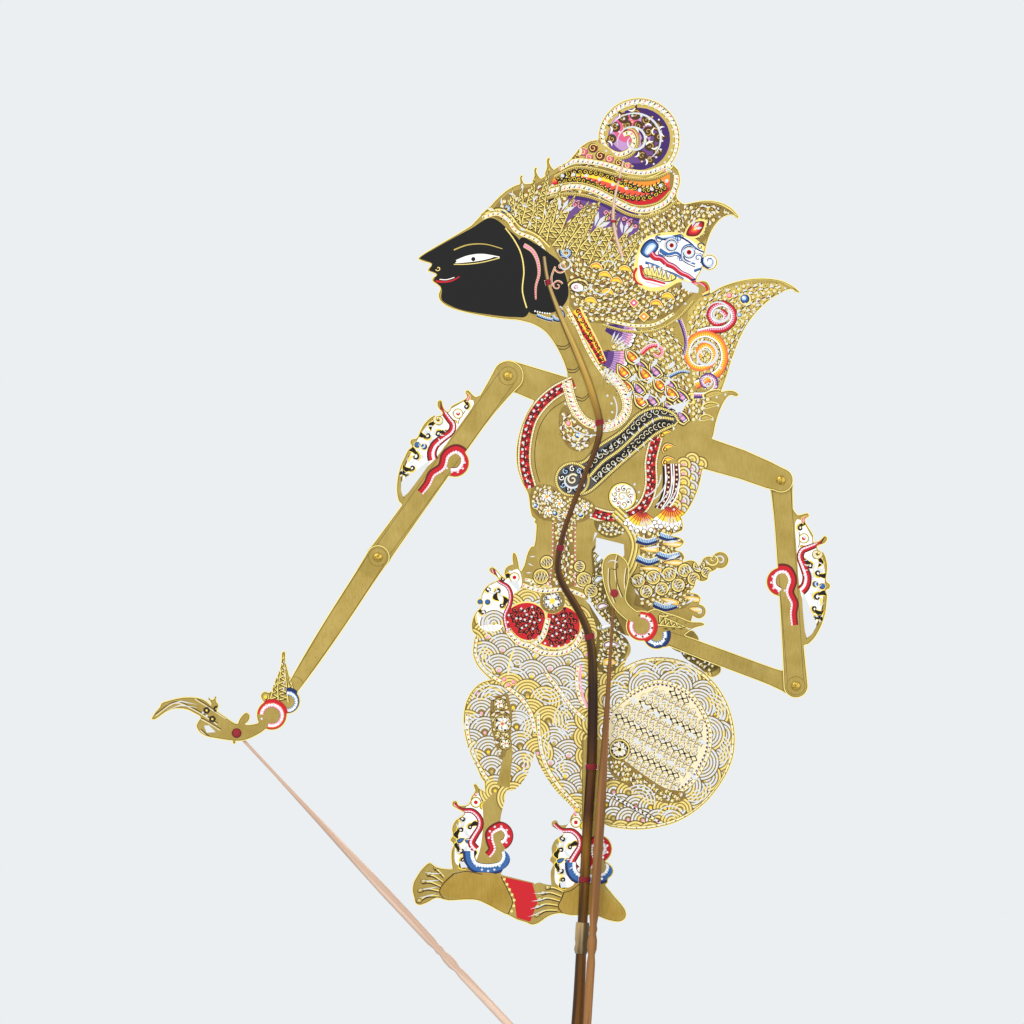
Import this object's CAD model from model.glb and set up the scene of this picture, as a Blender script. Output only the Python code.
"""Looks of a pierced and gilded leather shadow puppet: painted hides, horn rods, brass rivets and thread."""

import logging
import math
import random
from collections.abc import Callable, Sequence
from dataclasses import dataclass, field
from enum import Enum

import bmesh
import bpy
from mathutils import Matrix, Vector
from mathutils.geometry import delaunay_2d_cdt


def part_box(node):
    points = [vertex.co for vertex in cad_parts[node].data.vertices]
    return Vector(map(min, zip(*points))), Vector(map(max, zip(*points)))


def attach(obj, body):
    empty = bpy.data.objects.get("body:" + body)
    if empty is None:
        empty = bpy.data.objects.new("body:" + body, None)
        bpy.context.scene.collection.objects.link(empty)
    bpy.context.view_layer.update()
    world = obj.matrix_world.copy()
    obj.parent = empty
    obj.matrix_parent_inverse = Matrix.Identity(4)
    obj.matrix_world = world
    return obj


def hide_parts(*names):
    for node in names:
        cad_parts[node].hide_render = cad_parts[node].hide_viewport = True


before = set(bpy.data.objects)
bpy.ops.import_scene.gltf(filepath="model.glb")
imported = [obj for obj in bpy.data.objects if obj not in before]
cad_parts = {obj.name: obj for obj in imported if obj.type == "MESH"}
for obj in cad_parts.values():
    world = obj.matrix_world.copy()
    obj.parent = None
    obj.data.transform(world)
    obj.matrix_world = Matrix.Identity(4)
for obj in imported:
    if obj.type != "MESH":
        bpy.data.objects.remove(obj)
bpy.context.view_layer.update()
LOG = logging.getLogger("puppet")
Pt = tuple[float, float]
Path = list[Pt]
Tri = tuple[int, int, int]
Facet = tuple[Tri, "Paint"]

MM = 0.001
# Points nearer than this are one point, in millimetres.
NEAR = 0.02
# Motifs and rims smaller than these are left out, in square millimetres.
SPECK = 0.01
SLIT = 0.02
# Loose patches larger than this are tied back to the hide, in square millimetres.
CRUMB = 0.8
# Facets that lean less than this to each other are merged, in radians.
FLAT = 0.004
# Edges that turn more than this stay sharp, in radians.
CREASE = 0.7
# A motif whose facets cover more than its own area by this share and this much has leaked.
LEAK_SHARE, LEAK = 1.06, 0.3
# Half the length of the lines that part a hide into pieces, in millimetres.
SPAN = 400.0
# Points nearer than this are welded, in metres.
WELD = 1e-7
# The texture runs along a bar by this many units a metre.
RUN = 10.0


def linear(text: str) -> tuple[float, float, float, float]:
    """Linear colour of a display hex value."""
    parts = [int(text[i : i + 2], 16) / 255 for i in (1, 3, 5)]
    return (*(p / 12.92 if p < 0.04045 else ((p + 0.055) / 1.055) ** 2.4 for p in parts), 1.0)


class Paint(Enum):
    """Colours of the painter's box: display hex value and share of gilt."""

    GOLD = ("#a88f42", 0.75)
    OCHRE = ("#a98628", 0.7)
    LIGHT = ("#c4ab55", 0.6)
    BRIGHT = ("#eed97c", 0.3)
    YELLOW = ("#f5cf3a", 0.0)
    AGED = ("#846a2c", 0.6)
    OLIVE = ("#6d5a24", 0.35)
    UMBER = ("#43301a", 0.0)
    BLACK = ("#12100f", 0.0)
    GREY = ("#4d4b4a", 0.0)
    NIGHT = ("#1b2c5c", 0.0)
    BLUE = ("#35629c", 0.0)
    SKY = ("#a9c8e4", 0.0)
    WHITE = ("#f6f1e8", 0.0)
    CREAM = ("#e8dab4", 0.0)
    STRAW = ("#e4cd78", 0.0)
    RED = ("#c01c26", 0.0)
    SCARLET = ("#e0523a", 0.0)
    ORANGE = ("#ea8c2e", 0.0)
    PINK = ("#eaa3bb", 0.0)
    ROSE = ("#d25a80", 0.0)
    PURPLE = ("#3e2461", 0.0)
    VIOLET = ("#66457f", 0.0)
    MAUVE = ("#b68cb9", 0.0)
    WINE = ("#6a181c", 0.0)
    RAW = ("#7d6334", 0.1)
    PIERCED = ("#000000", 1.0)

    @property
    def rgba(self) -> tuple[float, float, float, float]:
        """Linear colour, with the share of gilt as its fourth value."""
        text, gilt = self.value
        return (*linear(text)[:3], gilt)


P = Paint
# Paints of the coils and bangles: dark, strong and pale.
REDS = (P.WINE, P.RED, P.PINK)
CORAL = (P.RED, P.SCARLET, P.PINK)
BLUES = (P.NIGHT, P.BLUE, P.SKY)
# Paints of the small stones, from the setting inwards.
RUBY = (P.BRIGHT, P.RED, P.PINK)
SAPPHIRE = (P.BRIGHT, P.NIGHT, P.BLUE)
AMBER = (P.BRIGHT, P.BLACK, P.YELLOW)


def polar(c: Pt, r: float, deg: float) -> Pt:
    """Point at radius r and angle deg around c."""
    return (c[0] + r * math.cos(math.radians(deg)), c[1] + r * math.sin(math.radians(deg)))


def gap(a: Pt, b: Pt) -> float:
    """Distance between two points."""
    return math.hypot(b[0] - a[0], b[1] - a[1])


def area(ring: Sequence[Pt]) -> float:
    """Signed area of a ring, positive when it runs counter-clockwise."""
    return 0.5 * sum(a[0] * b[1] - b[0] * a[1] for a, b in zip(ring, [*ring[1:], ring[0]]))


def inside(p: Pt, ring: Sequence[Pt]) -> bool:
    """Whether p lies in a ring.

    Args:
        p: Point.
        ring: Ring of points.

    Returns:
        True where it does.
    """
    hit = False
    for a, b in zip(ring, [*ring[1:], ring[0]]):
        if (a[1] > p[1]) != (b[1] > p[1]) and p[0] < (b[0] - a[0]) * (p[1] - a[1]) / (b[1] - a[1]) + a[0]:
            hit = not hit
    return hit


def spline(knots: Sequence[Pt], step: float = 1.6, closed: bool = False) -> Path:
    """Smooth path through knots, with points about a step apart.

    Args:
        knots: Points that the path passes through.
        step: Distance between points.
        closed: Whether the last knot joins the first.

    Returns:
        Points of the path.
    """
    n = len(knots)
    out: Path = []
    for i in range(n if closed else n - 1):
        if closed:
            a, b, c, d = (knots[(i + j) % n] for j in (-1, 0, 1, 2))
        else:
            a, b, c, d = knots[max(0, i - 1)], knots[i], knots[i + 1], knots[min(n - 1, i + 2)]
        count = max(1, round(gap(b, c) / step))
        for j in range(count):
            t = j / count
            w = (
                -t * (1 - t) ** 2 / 2, (3 * t**3 - 5 * t**2 + 2) / 2, (-3 * t**3 + 4 * t**2 + t) / 2,
                -(t**2) * (1 - t) / 2
            )
            out.append(tuple(sum(k * q[m] for k, q in zip(w, (a, b, c, d))) for m in (0, 1)))
    if not closed:
        out.append(tuple(knots[-1]))
    return out


def arc(c: Pt, r: float, a0: float, a1: float, step: float = 1.2, ry: float | None = None) -> Path:
    """Arc around c from angle a0 to a1, or part of an oval when ry is given.

    Args:
        c: Centre.
        r: Radius.
        a0: Angle at the start, in degrees.
        a1: Angle at the end, in degrees.
        step: Distance between points.
        ry: Upright radius of an oval.

    Returns:
        Points of the arc.
    """
    n = max(3, round(abs(a1 - a0) * math.pi / 180 * r / step))
    ry = r if ry is None else ry
    return [
        (
            c[0] + r * math.cos(math.radians(a0 + (a1 - a0) * i / n)),
            c[1] + ry * math.sin(math.radians(a0 + (a1 - a0) * i / n))
        )
        for i in range(n + 1)
    ]


def coil(c: Pt, r0: float, r1: float, a0: float, a1: float, step: float = 0.9) -> Path:
    """Spiral around c from radius r0 at angle a0 to radius r1 at angle a1."""
    n = max(5, round(abs(a1 - a0) * math.pi / 180 * (r0 + r1) / 2 / step))
    return [polar(c, r0 + (r1 - r0) * i / n, a0 + (a1 - a0) * i / n) for i in range(n + 1)]


def spaced(path: Sequence[Pt], pitch: float) -> list[tuple[Pt, float, float]]:
    """Points a pitch apart along a path, each with its heading in degrees and its share of the way.

    Args:
        path: Points of the path.
        pitch: Distance from one to the next.

    Returns:
        Point, heading and share for each.
    """
    total = sum(gap(a, b) for a, b in zip(path, path[1:]))
    n = max(1, round(total / pitch))
    goals = [total * (i + 0.5) / n for i in range(n)]
    out, run, k = [], 0.0, 0
    for a, b in zip(path, path[1:]):
        d = gap(a, b)
        while k < n and goals[k] <= run + d + 1e-9:
            t = (goals[k] - run) / d if d else 0.0
            heading = math.degrees(math.atan2(b[1] - a[1], b[0] - a[0]))
            out.append(((a[0] + (b[0] - a[0]) * t, a[1] + (b[1] - a[1]) * t), heading, goals[k] / total))
            k += 1
        run += d
    return out


def shifted(path: Sequence[Pt], d: float) -> Path:
    """Path moved sideways by d to its left.

    Args:
        path: Points of the path.
        d: Distance to the left.

    Returns:
        Points of the new path.
    """
    out: Path = []
    for i, p in enumerate(path):
        a, b = path[max(0, i - 1)], path[min(len(path) - 1, i + 1)]
        n = gap(a, b) or 1.0
        out.append((p[0] - (b[1] - a[1]) / n * d, p[1] + (b[0] - a[0]) / n * d))
    return out


def drawn_in(ring: Sequence[Pt], mid: Pt, kx: float, kz: float) -> Path:
    """Shape drawn in towards a point, by a share each way."""
    return [(mid[0] + (x - mid[0]) * kx, mid[1] + (z - mid[1]) * kz) for x, z in ring]


@dataclass
class Canvas:
    """Painted and pierced motifs of one hide, in the order they are laid on, in millimetres."""

    place: Callable[[Pt], Pt] = lambda p: p
    motifs: list[tuple[Paint, Path]] = field(default_factory=list)
    dice: random.Random = field(default_factory=lambda: random.Random(7))

    def fill(self, paint: Paint, ring: Sequence[Pt]) -> None:
        """Lay on a filled shape.

        Args:
            paint: Paint to lay on.
            ring: Rim of the shape.
        """
        pts: Path = []
        for p in (self.place(q) for q in ring):
            if not pts or gap(p, pts[-1]) > NEAR:
                pts.append(p)
        while len(pts) > 2 and gap(pts[0], pts[-1]) < NEAR:
            pts.pop()
        if len(pts) < 3:
            return
        size = area(pts)
        if abs(size) > SPECK:
            self.motifs.append((paint, pts if size > 0 else pts[::-1]))

    def quad(self, paint: Paint, q: Sequence[Pt]) -> None:
        """Lay on a four-sided patch, as two triangles where it isn't convex.

        Args:
            paint: Paint to lay on.
            q: Four corners in order.
        """
        turns = [
            (q[(i + 1) % 4][0] - q[i][0]) * (q[(i + 2) % 4][1] - q[(i + 1) % 4][1])
            - (q[(i + 1) % 4][1] - q[i][1]) * (q[(i + 2) % 4][0] - q[(i + 1) % 4][0])
            for i in range(4)
        ]
        if min(turns) > 0 or max(turns) < 0:
            self.fill(paint, q)
        else:
            self.fill(paint, [q[0], q[1], q[2]])
            self.fill(paint, [q[0], q[2], q[3]])

    def disc(self, paint: Paint, c: Pt, r: float) -> None:
        """Lay on a round spot."""
        n = 7 if r < 0.5 else 9 if r < 0.9 else 14 if r < 2.5 else 28
        self.fill(paint, [polar(c, r, 360 * i / n + 11) for i in range(n)])

    def discs(self, c: Pt, *spots: tuple[Paint, float]) -> None:
        """Lay on round spots one on another, each with its paint and radius."""
        for paint, r in spots:
            self.disc(paint, c, r)

    def oval(self, paint: Paint, c: Pt, rx: float, ry: float, turn: float = 0.0) -> None:
        """Lay on an oval.

        Args:
            paint: Paint to lay on.
            c: Centre.
            rx: Level radius.
            ry: Upright radius of an oval.
            turn: Angle it is turned by, in degrees.
        """
        n = 12 if max(rx, ry) < 2.5 else 26
        co, si = math.cos(math.radians(turn)), math.sin(math.radians(turn))
        level = [(rx * math.cos(a), ry * math.sin(a)) for a in (2 * math.pi * i / n for i in range(n))]
        self.fill(paint, [(c[0] + x * co - y * si, c[1] + x * si + y * co) for x, y in level])

    def line(self, paint: Paint, path: Sequence[Pt], w0: float, w1: float | None = None) -> None:
        """Lay on a stroke whose width runs from w0 to w1.

        Args:
            paint: Paint to lay on.
            path: Points of the path.
            w0: Width at the start.
            w1: Width at the end.
        """
        w1 = w0 if w1 is None else w1
        n = len(path) - 1
        wide = [(w0 + (w1 - w0) * i / n) / 2 for i in range(n + 1)]
        units = shifted(path, 1.0)
        left = [(p[0] + (u[0] - p[0]) * w, p[1] + (u[1] - p[1]) * w) for p, u, w in zip(path, units, wide)]
        right = [(p[0] - (u[0] - p[0]) * w, p[1] - (u[1] - p[1]) * w) for p, u, w in zip(path, units, wide)]
        for i in range(n):
            self.quad(paint, [right[i], right[i + 1], left[i + 1], left[i]])

    def curve(self, paint: Paint, knots: Sequence[Pt], w0: float, w1: float | None = None) -> None:
        """Lay on a smooth stroke through knots."""
        self.line(paint, spline(knots), w0, w1)

    def shape(self, paint: Paint, knots: Sequence[Pt]) -> None:
        """Lay on a filled shape with a smooth rim through knots."""
        self.fill(paint, spline(knots, closed=True))

    def dots(self, paint: Paint | Sequence[Paint], path: Sequence[Pt], pitch: float, r: float) -> None:
        """Lay a row of spots along a path, with the paints taken in turn.

        Args:
            paint: Paint, or paints to take in turn.
            path: Points of the path.
            pitch: Distance from one to the next.
            r: Radius.
        """
        paints = [paint] if isinstance(paint, Paint) else list(paint)
        for i, (p, _, _) in enumerate(spaced(path, pitch)):
            self.disc(paints[i % len(paints)], p, r)

    def ticks(
        self, paint: Paint, path: Sequence[Pt], pitch: float, long: float, wide: float = 0.4, lean: float = 90.0,
        side: float = 0.0
    ) -> None:
        """Lay short strokes across a path; side moves them to its left.

        Args:
            paint: Paint to lay on.
            path: Points of the path.
            pitch: Distance from one to the next.
            long: Length of a stroke.
            wide: Greatest width.
            lean: Angle to the path, in degrees.
            side: Left of the path where positive, or right.
        """
        for p, heading, _ in spaced(path, pitch):
            c = polar(p, side, heading + 90)
            self.line(paint, [polar(c, long / 2, heading + lean + 180), polar(c, long / 2, heading + lean)], wide)

    def cord(self, knots: Sequence[Pt], w: float = 2.2) -> None:
        """Lay on a twisted gold cord.

        Args:
            knots: Points that the path passes through.
            w: Width.
        """
        way = spline(knots)
        self.line(P.OLIVE, way, w + 0.5)
        self.line(P.LIGHT, way, w - 0.1)
        self.ticks(P.UMBER, way, 1.5, w, 0.35, 62)
        self.line(P.BRIGHT, shifted(way, w / 2 - 0.1), 0.4)

    def pearls(
        self, knots: Sequence[Pt], w: float = 3.2, w1: float | None = None,
        inks: Sequence[Paint] = (Paint.ROSE, Paint.BLACK, Paint.BLUE)
    ) -> None:
        """Lay on a white band set with spots between two gold lines.

        Args:
            knots: Points that the path passes through.
            w: Width.
            w1: Width at the end.
            inks: Paints of the spots, in turn.
        """
        way = spline(knots)
        w1 = w if w1 is None else w1
        self.line(P.UMBER, way, w + 1.5, w1 + 1.5)
        self.line(P.BRIGHT, way, w + 0.9, w1 + 0.9)
        self.line(P.CREAM, way, w - 0.1, w1 - 0.1)
        for i, (p, heading, t) in enumerate(spaced(way, 1.75)):
            v = w + (w1 - w) * t
            self.line(
                P.WHITE if i % 2 else inks[(i // 2) % len(inks)],
                [polar(p, 0.4 * v, heading + 70), polar(p, 0.4 * v, heading - 110)], 0.95
            )
            if i % 2 == 0:
                self.disc(P.WHITE, polar(p, 0.2 * v, heading + 90), 0.14 * v)
            else:
                self.disc(P.UMBER, polar(p, 0.3 * v, heading - 90), 0.12 * v)

    def drop(self, paint: Paint, root: Pt, tip: Pt, wide: float, bow: float = 0.0) -> None:
        """Lay on a leaf from its round root to its tip; bow bends it to the left.

        Args:
            paint: Paint to lay on.
            root: Round foot.
            tip: Pointed end.
            wide: Greatest width.
            bow: Bend to the left, as a share of the length.
        """
        long = gap(root, tip)
        if long < 0.05:
            return
        u = ((tip[0] - root[0]) / long, (tip[1] - root[1]) / long)
        n = 7 if long < 6 else 11
        left, right = [], []
        for i in range(n + 1):
            t = i / n
            half = wide / 2 * math.sin(math.pi * min(1.0, t * 0.78 + 0.22)) ** 0.9 if i < n else 0.0
            mid = bow * long * math.sin(math.pi * t)
            for rim, s in ((left, 1), (right, -1)):
                k = mid + s * half
                rim.append((root[0] + u[0] * t * long - u[1] * k, root[1] + u[1] * t * long + u[0] * k))
        self.fill(paint, right + left[::-1])

    def petal(self, inks: Sequence[Paint], root: Pt, tip: Pt, wide: float, bow: float = 0.0) -> None:
        """Lay on a leaf in nested shades, the first the outermost.

        Args:
            inks: Paints, the outermost first.
            root: Round foot.
            tip: Pointed end.
            wide: Greatest width.
            bow: Bend to the left, as a share of the length.
        """
        n = len(inks)
        for i, ink in enumerate(inks):
            k = i / n * 0.8
            a = (root[0] + (tip[0] - root[0]) * k * 0.25, root[1] + (tip[1] - root[1]) * k * 0.25)
            b = (tip[0] + (root[0] - tip[0]) * k * 0.3, tip[1] + (root[1] - tip[1]) * k * 0.3)
            self.drop(ink, a, b, wide * (1 - k), bow)

    def comb(self, dark: Paint, pale: Paint, way: Sequence[Pt], w0: float, w1: float, side: float = 1.0) -> None:
        """Lay on a curling comb: pale band, strong spine and teeth on one side.

        Args:
            dark: Paint of the spine and teeth.
            pale: Paint of the inner band.
            way: Path of its middle.
            w0: Width at the start.
            w1: Width at the end.
            side: Left of the path where positive, or right.
        """
        self.line(P.LIGHT, way, w0 + 1.0, w1 + 0.8)
        self.line(P.WHITE, way, w0, w1)
        self.line(pale, shifted(way, side * w0 * 0.1), w0 * 0.55, w1 * 0.55)
        for p, heading, t in spaced(way, 1.25):
            w = w0 + (w1 - w0) * t
            q = polar(p, side * w * 0.3, heading - 90)
            self.line(dark, [q, polar(p, side * w * 0.42, heading + 90)], 0.5, 0.3)
        self.line(dark, shifted(way, -side * w0 * 0.28), w0 * 0.42, w1 * 0.4)

    def curl(self, c: Pt, r: float, a: float, hand: int, spot: Paint, kind: int) -> None:
        """Lay on one cell of gold lace that faces a: a pair of pierced commas, a pierced bead or a tendril.

        Args:
            c: Centre.
            r: Radius.
            a: Angle it faces, in degrees.
            hand: 1 or -1, the way it curls.
            spot: Paint of the spot beside it.
            kind: 0 for commas, 1 for a bead, 2 for a tendril.
        """
        if kind == 1:
            self.disc(P.UMBER, polar(c, 0.2 * r, a - 90 * hand), r * 0.82)
            self.disc(P.BRIGHT, c, r * 0.7)
            self.disc(P.PIERCED, c, r * 0.4)
            self.disc(spot, polar(c, r, a), 0.2 * r)
            return
        root, tip = polar(c, r * 0.95, a + 180 - 24 * hand), polar(c, r * 1.05, a - 12 * hand)
        self.drop(
            P.UMBER, polar(root, 0.26 * r, a - 90 * hand), polar(tip, 0.42 * r, a - 60 * hand), r * 1.5, 0.2 * hand
        )
        self.drop(P.BRIGHT if hand > 0 else P.CREAM, root, tip, r * 1.0, 0.2 * hand)
        self.drop(P.PIERCED, polar(root, r * 0.24, a), polar(tip, r * 0.3, a + 180), r * 0.56, 0.2 * hand)
        if kind == 2:
            self.line(P.BRIGHT, coil(
                polar(c, r * 0.7, a - 95 * hand), r * 0.55, 0.15 * r, a, a + hand * 300, 0.9
            ), 0.5, 0.36)
        self.disc(spot, polar(c, r * 0.72, a - 95 * hand), 0.24 * r)

    def lace(
        self,
        ring: Sequence[Pt],
        pitch: float = 4.2,
        inks: Sequence[Paint] = (Paint.YELLOW, Paint.BLACK, Paint.RED, Paint.CREAM),
        avoid: Sequence[Path] = (),
        focus: Pt | None = None,
        ground: Paint = Paint.AGED,
    ) -> None:
        """Fill a shape with rows of gold lace laid around a focus.

        Args:
            ring: Outline of the shape.
            pitch: Distance from one to the next.
            inks: Paints of the spots.
            avoid: Shapes to leave free.
            focus: Point that the rows run around.
            ground: Paint below the lace.
        """
        xs, ys = [p[0] for p in ring], [p[1] for p in ring]
        box = (min(xs), max(xs), min(ys), max(ys))
        focus = focus or ((box[0] + box[1]) / 2, (box[2] + box[3]) / 2)
        far = max(gap(focus, p) for p in ring)
        self.fill(ground, ring)
        row, r = 0, pitch * 0.45
        while r < far:
            n = max(1, round(2 * math.pi * r / pitch))
            kind = row % 3
            for i in range(n):
                deg = 360 * (i + 0.5 * (row % 2)) / n
                c = polar(focus, r, deg)
                if not (box[0] < c[0] < box[1] and box[2] < c[1] < box[3]):
                    continue
                within = all(inside(polar(c, pitch * 0.52, 90 * m + 45), ring) for m in range(4))
                if within and not any(inside(c, a) for a in avoid):
                    hand = 1 if (i + row) % 2 else -1
                    self.curl(c, pitch * 0.44, deg + 90 + 14 * hand, hand, self.dice.choice(list(inks)), kind)
                    self.disc(P.BLACK, polar(c, pitch * 0.56, deg + 180 * (i % 2)), pitch * 0.1)
            r += pitch * (0.72 if kind == 1 else 0.9)
            row += 1

    def pierced(self, ring: Sequence[Pt], bound: Sequence[Pt] | None) -> None:
        """Pierce a small opening, where it lies wholly within a bound."""
        if bound is None or all(inside(p, bound) for p in ring):
            self.fill(P.PIERCED, ring)

    def scale(
        self, c: Pt, r: float, a0: float, a1: float, bound: Sequence[Pt] | None, pitch: float = 2.15,
        heart: Paint = Paint.LIGHT
    ) -> None:
        """Lay on one wave scale: rings of see-through slots between fine gold arcs with radial bars.

        Args:
            c: Centre.
            r: Radius.
            a0: Angle at the start, in degrees.
            a1: Angle at the end, in degrees.
            bound: Shape that the slots stay within.
            pitch: Distance from ring to ring.
            heart: Paint of the spot in its middle.
        """
        self.fill(P.AGED, arc(c, r, a0, a1, 1.6) + ([c] if abs(a1 - a0) < 350 else []))
        rings = int((r - 1.0) / pitch)
        for k in range(rings):
            hi = r - 0.75 - k * pitch
            lo = hi - (pitch - 0.78)
            if lo < 0.5:
                break
            self.line(P.STRAW, arc(c, (hi + lo) / 2, a0, a1, 1.8), hi - lo)
            n = max(2, round(abs(a1 - a0) * math.pi / 180 * hi / 7.5))
            bar = math.degrees(0.36 / hi)
            for i in range(n):
                b0 = a0 + (a1 - a0) * (i + 0.5 * (k % 2)) / n + bar
                b1 = min(a0 + (a1 - a0) * (i + 1 + 0.5 * (k % 2)) / n, a1) - bar
                if b1 - b0 > bar:
                    self.pierced(arc(c, hi, b0, b1, 2.0) + arc(c, lo, b1, b0, 2.0), bound)
        self.line(P.UMBER, arc(c, r - 0.1, a0, a1, 1.8), 0.3)
        self.disc(heart, c, 1.1)

    def scales(
        self, ring: Sequence[Pt], r: float, origin: Pt, turn: float = 90.0,
        hearts: Sequence[Paint] = (Paint.YELLOW, Paint.PINK, Paint.LIGHT)
    ) -> None:
        """Fill a shape with rows of overlapping wave scales that open towards turn.

        Args:
            ring: Outline of the shape.
            r: Radius of a scale.
            origin: Point that the rows are counted from.
            turn: Direction they open to, in degrees.
            hearts: Paints of the middle spots, in turn.
        """
        u, v = polar((0, 0), 1.0, turn - 90), polar((0, 0), 1.0, turn)
        cells = []
        for j in range(-16, 17):
            for i in range(-16, 17):
                s, t = (i + 0.5 * (j % 2)) * r * 1.96, j * r * 0.6
                c = (origin[0] + u[0] * s + v[0] * t, origin[1] + u[1] * s + v[1] * t)
                if any(inside(polar(c, r * 0.9, turn - 60 + 40 * m), ring) for m in range(4)) or inside(c, ring):
                    cells.append((t, s, c))
        for n, (_, _, c) in enumerate(sorted(cells, reverse=True)):
            self.scale(c, r, turn - 126, turn + 126, ring, heart=hearts[n % len(hearts)])

    def zigzag(self, a: Pt, b: Pt, w: float) -> None:
        """Lay on a gold spire from its foot a to its point b, filled with a dark zigzag.

        Args:
            a: Foot of the spire.
            b: Point of the spire.
            w: Width at the foot.
        """
        heading = math.degrees(math.atan2(b[1] - a[1], b[0] - a[0]))
        long = gap(a, b)
        for ink, more in ((P.UMBER, 1.2), (P.BRIGHT, 0.6), (P.GOLD, -0.2)):
            self.fill(ink, [
                polar(a, w / 2 + more, heading - 90), polar(b, 2 * more, heading),
                polar(a, w / 2 + more, heading + 90)
            ])
        n = max(4, round(long / 2.0))
        steps = [
            polar(polar(a, long * i / n, heading), w * 0.42 * (1 - i / n) * (-1) ** i, heading + 90)
            for i in range(n)
        ]
        for ink, back in ((P.BRIGHT, 0.8), (P.BLACK, 0.0)):
            way = [polar(p, back, heading) for p in steps]
            for p, q in zip(way, way[1:]):
                self.line(ink, [p, q], 0.6)

    def blossom(self, c: Pt, r: float, leaves: int, inks: Sequence[Paint], turn: float = 0.0) -> None:
        """Lay on a round flower.

        Args:
            c: Centre.
            r: Radius.
            leaves: Number of leaves.
            inks: Paints, the outermost first and the heart last.
            turn: Angle it is turned by, in degrees.
        """
        for i in range(leaves):
            a = turn + 360 * i / leaves
            self.petal(inks[:-1], polar(c, r * 0.18, a), polar(c, r, a), 2.1 * r * math.sin(math.pi / leaves))
        self.discs(c, (P.BRIGHT, r * 0.3), (inks[-1], r * 0.2))

    def fan(
        self, c: Pt, r0: float, r1: float, a0: float, a1: float, inks: Sequence[Paint], ribs: int, rib: Paint
    ) -> None:
        """Lay on a spread fan whose shades run outwards, with ribs.

        Args:
            c: Centre.
            r0: Inner radius.
            r1: Outer radius.
            a0: Angle at the start, in degrees.
            a1: Angle at the end, in degrees.
            inks: Paints, the innermost first.
            ribs: Number of spaces between ribs.
            rib: Paint of the ribs.
        """
        n = len(inks)
        for i, ink in enumerate(inks):
            lo, hi = r0 + (r1 - r0) * i / n, r0 + (r1 - r0) * (i + 1) / n
            self.fill(ink, arc(c, hi, a0, a1, 1.4) + arc(c, lo, a1, a0, 1.4))
        for i in range(ribs + 1):
            a = a0 + (a1 - a0) * i / ribs
            self.line(rib, [polar(c, r0, a), polar(c, r1, a)], 0.5, 0.3)
        self.line(P.BRIGHT, arc(c, r1, a0, a1), 0.6)

    def gem(
        self, c: Pt, r: float, inks: Sequence[Paint] = (Paint.BRIGHT, Paint.NIGHT, Paint.BLUE, Paint.SKY, Paint.WHITE)
    ) -> None:
        """Lay on a round jewel in nested shades."""
        for i, ink in enumerate(inks):
            self.disc(ink, (c[0] - 0.08 * r * i, c[1] + 0.08 * r * i), r * (1 - 0.2 * i))

    def beaded_ring(
        self, c: Pt, r: float, w: float, a0: float, a1: float, inks: Sequence[Paint], ry: float | None = None
    ) -> None:
        """Lay on a bangle: strong outer band and a row of white beads inside it.

        Args:
            c: Centre.
            r: Radius.
            w: Width.
            a0: Angle at the start, in degrees.
            a1: Angle at the end, in degrees.
            inks: Dark, strong and pale paint.
            ry: Upright radius of an oval.
        """

        def at(k: float) -> Path:
            """Way round the bangle at a share of its width from the rim."""
            return arc(c, r - w * k, a0, a1, 1.2, None if ry is None else ry - w * k)

        self.line(P.UMBER, at(0.5), w + 0.6)
        self.line(inks[2], at(0.62), w * 0.8)
        self.ticks(inks[0], at(0.6), 2.0, w * 0.8, 0.45)
        self.dots(P.WHITE, at(0.7), 2.0, w * 0.19)
        self.line(inks[1], at(0.3), w * 0.5)
        self.line(inks[0], at(0.2), w * 0.42)

    def snake(self, knots: Sequence[Pt], w0: float, w1: float, inks: Sequence[Paint], side: float = 1.0) -> None:
        """Lay on a coiling band: strong back, pale belly with white beads on one side.

        Args:
            knots: Points that the path passes through.
            w0: Width at the start.
            w1: Width at the end.
            inks: Dark, strong and pale paint.
            side: Left of the path where positive, or right.
        """
        way = spline(knots)
        self.line(P.UMBER, way, w0 + 0.8, w1 + 0.6)
        self.line(inks[0], way, w0, w1)
        self.line(inks[1], shifted(way, side * w0 * 0.06), w0 * 0.74, w1 * 0.72)
        self.line(inks[2], shifted(way, side * w0 * 0.3), w0 * 0.36, w1 * 0.34)
        self.ticks(inks[0], shifted(way, side * w0 * 0.2), 1.9, (w0 + w1) * 0.2, 0.4)
        for p, _, t in spaced(shifted(way, side * w0 * 0.32), 1.9):
            self.disc(P.WHITE, p, 0.15 * (w0 + (w1 - w0) * t))

    def comma(self, c: Pt, r: float, a: float, hand: int) -> None:
        """Lay on a bold black comma with a yellow back and a white eye.

        Args:
            c: Centre.
            r: Radius.
            a: Angle it faces, in degrees.
            hand: 1 or -1, the way it curls.
        """
        self.line(P.YELLOW, arc(c, r + 0.8, a - 40 * hand, a + 150 * hand), 1.3, 0.6)
        self.drop(P.YELLOW, polar(c, r - 0.6, a + 20 * hand), polar(c, r + 5.0, a - 58 * hand), 4.6, 0.3 * hand)
        self.drop(P.BLACK, polar(c, r - 0.6, a + 20 * hand), polar(c, r + 4.4, a - 56 * hand), 3.4, 0.3 * hand)
        self.line(P.BLACK, coil(c, r, 0.5, a, a + 340 * hand), 1.9, 0.8)
        self.line(P.LIGHT, arc(c, r + 0.1, a + 30 * hand, a + 170 * hand), 0.4)


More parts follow.
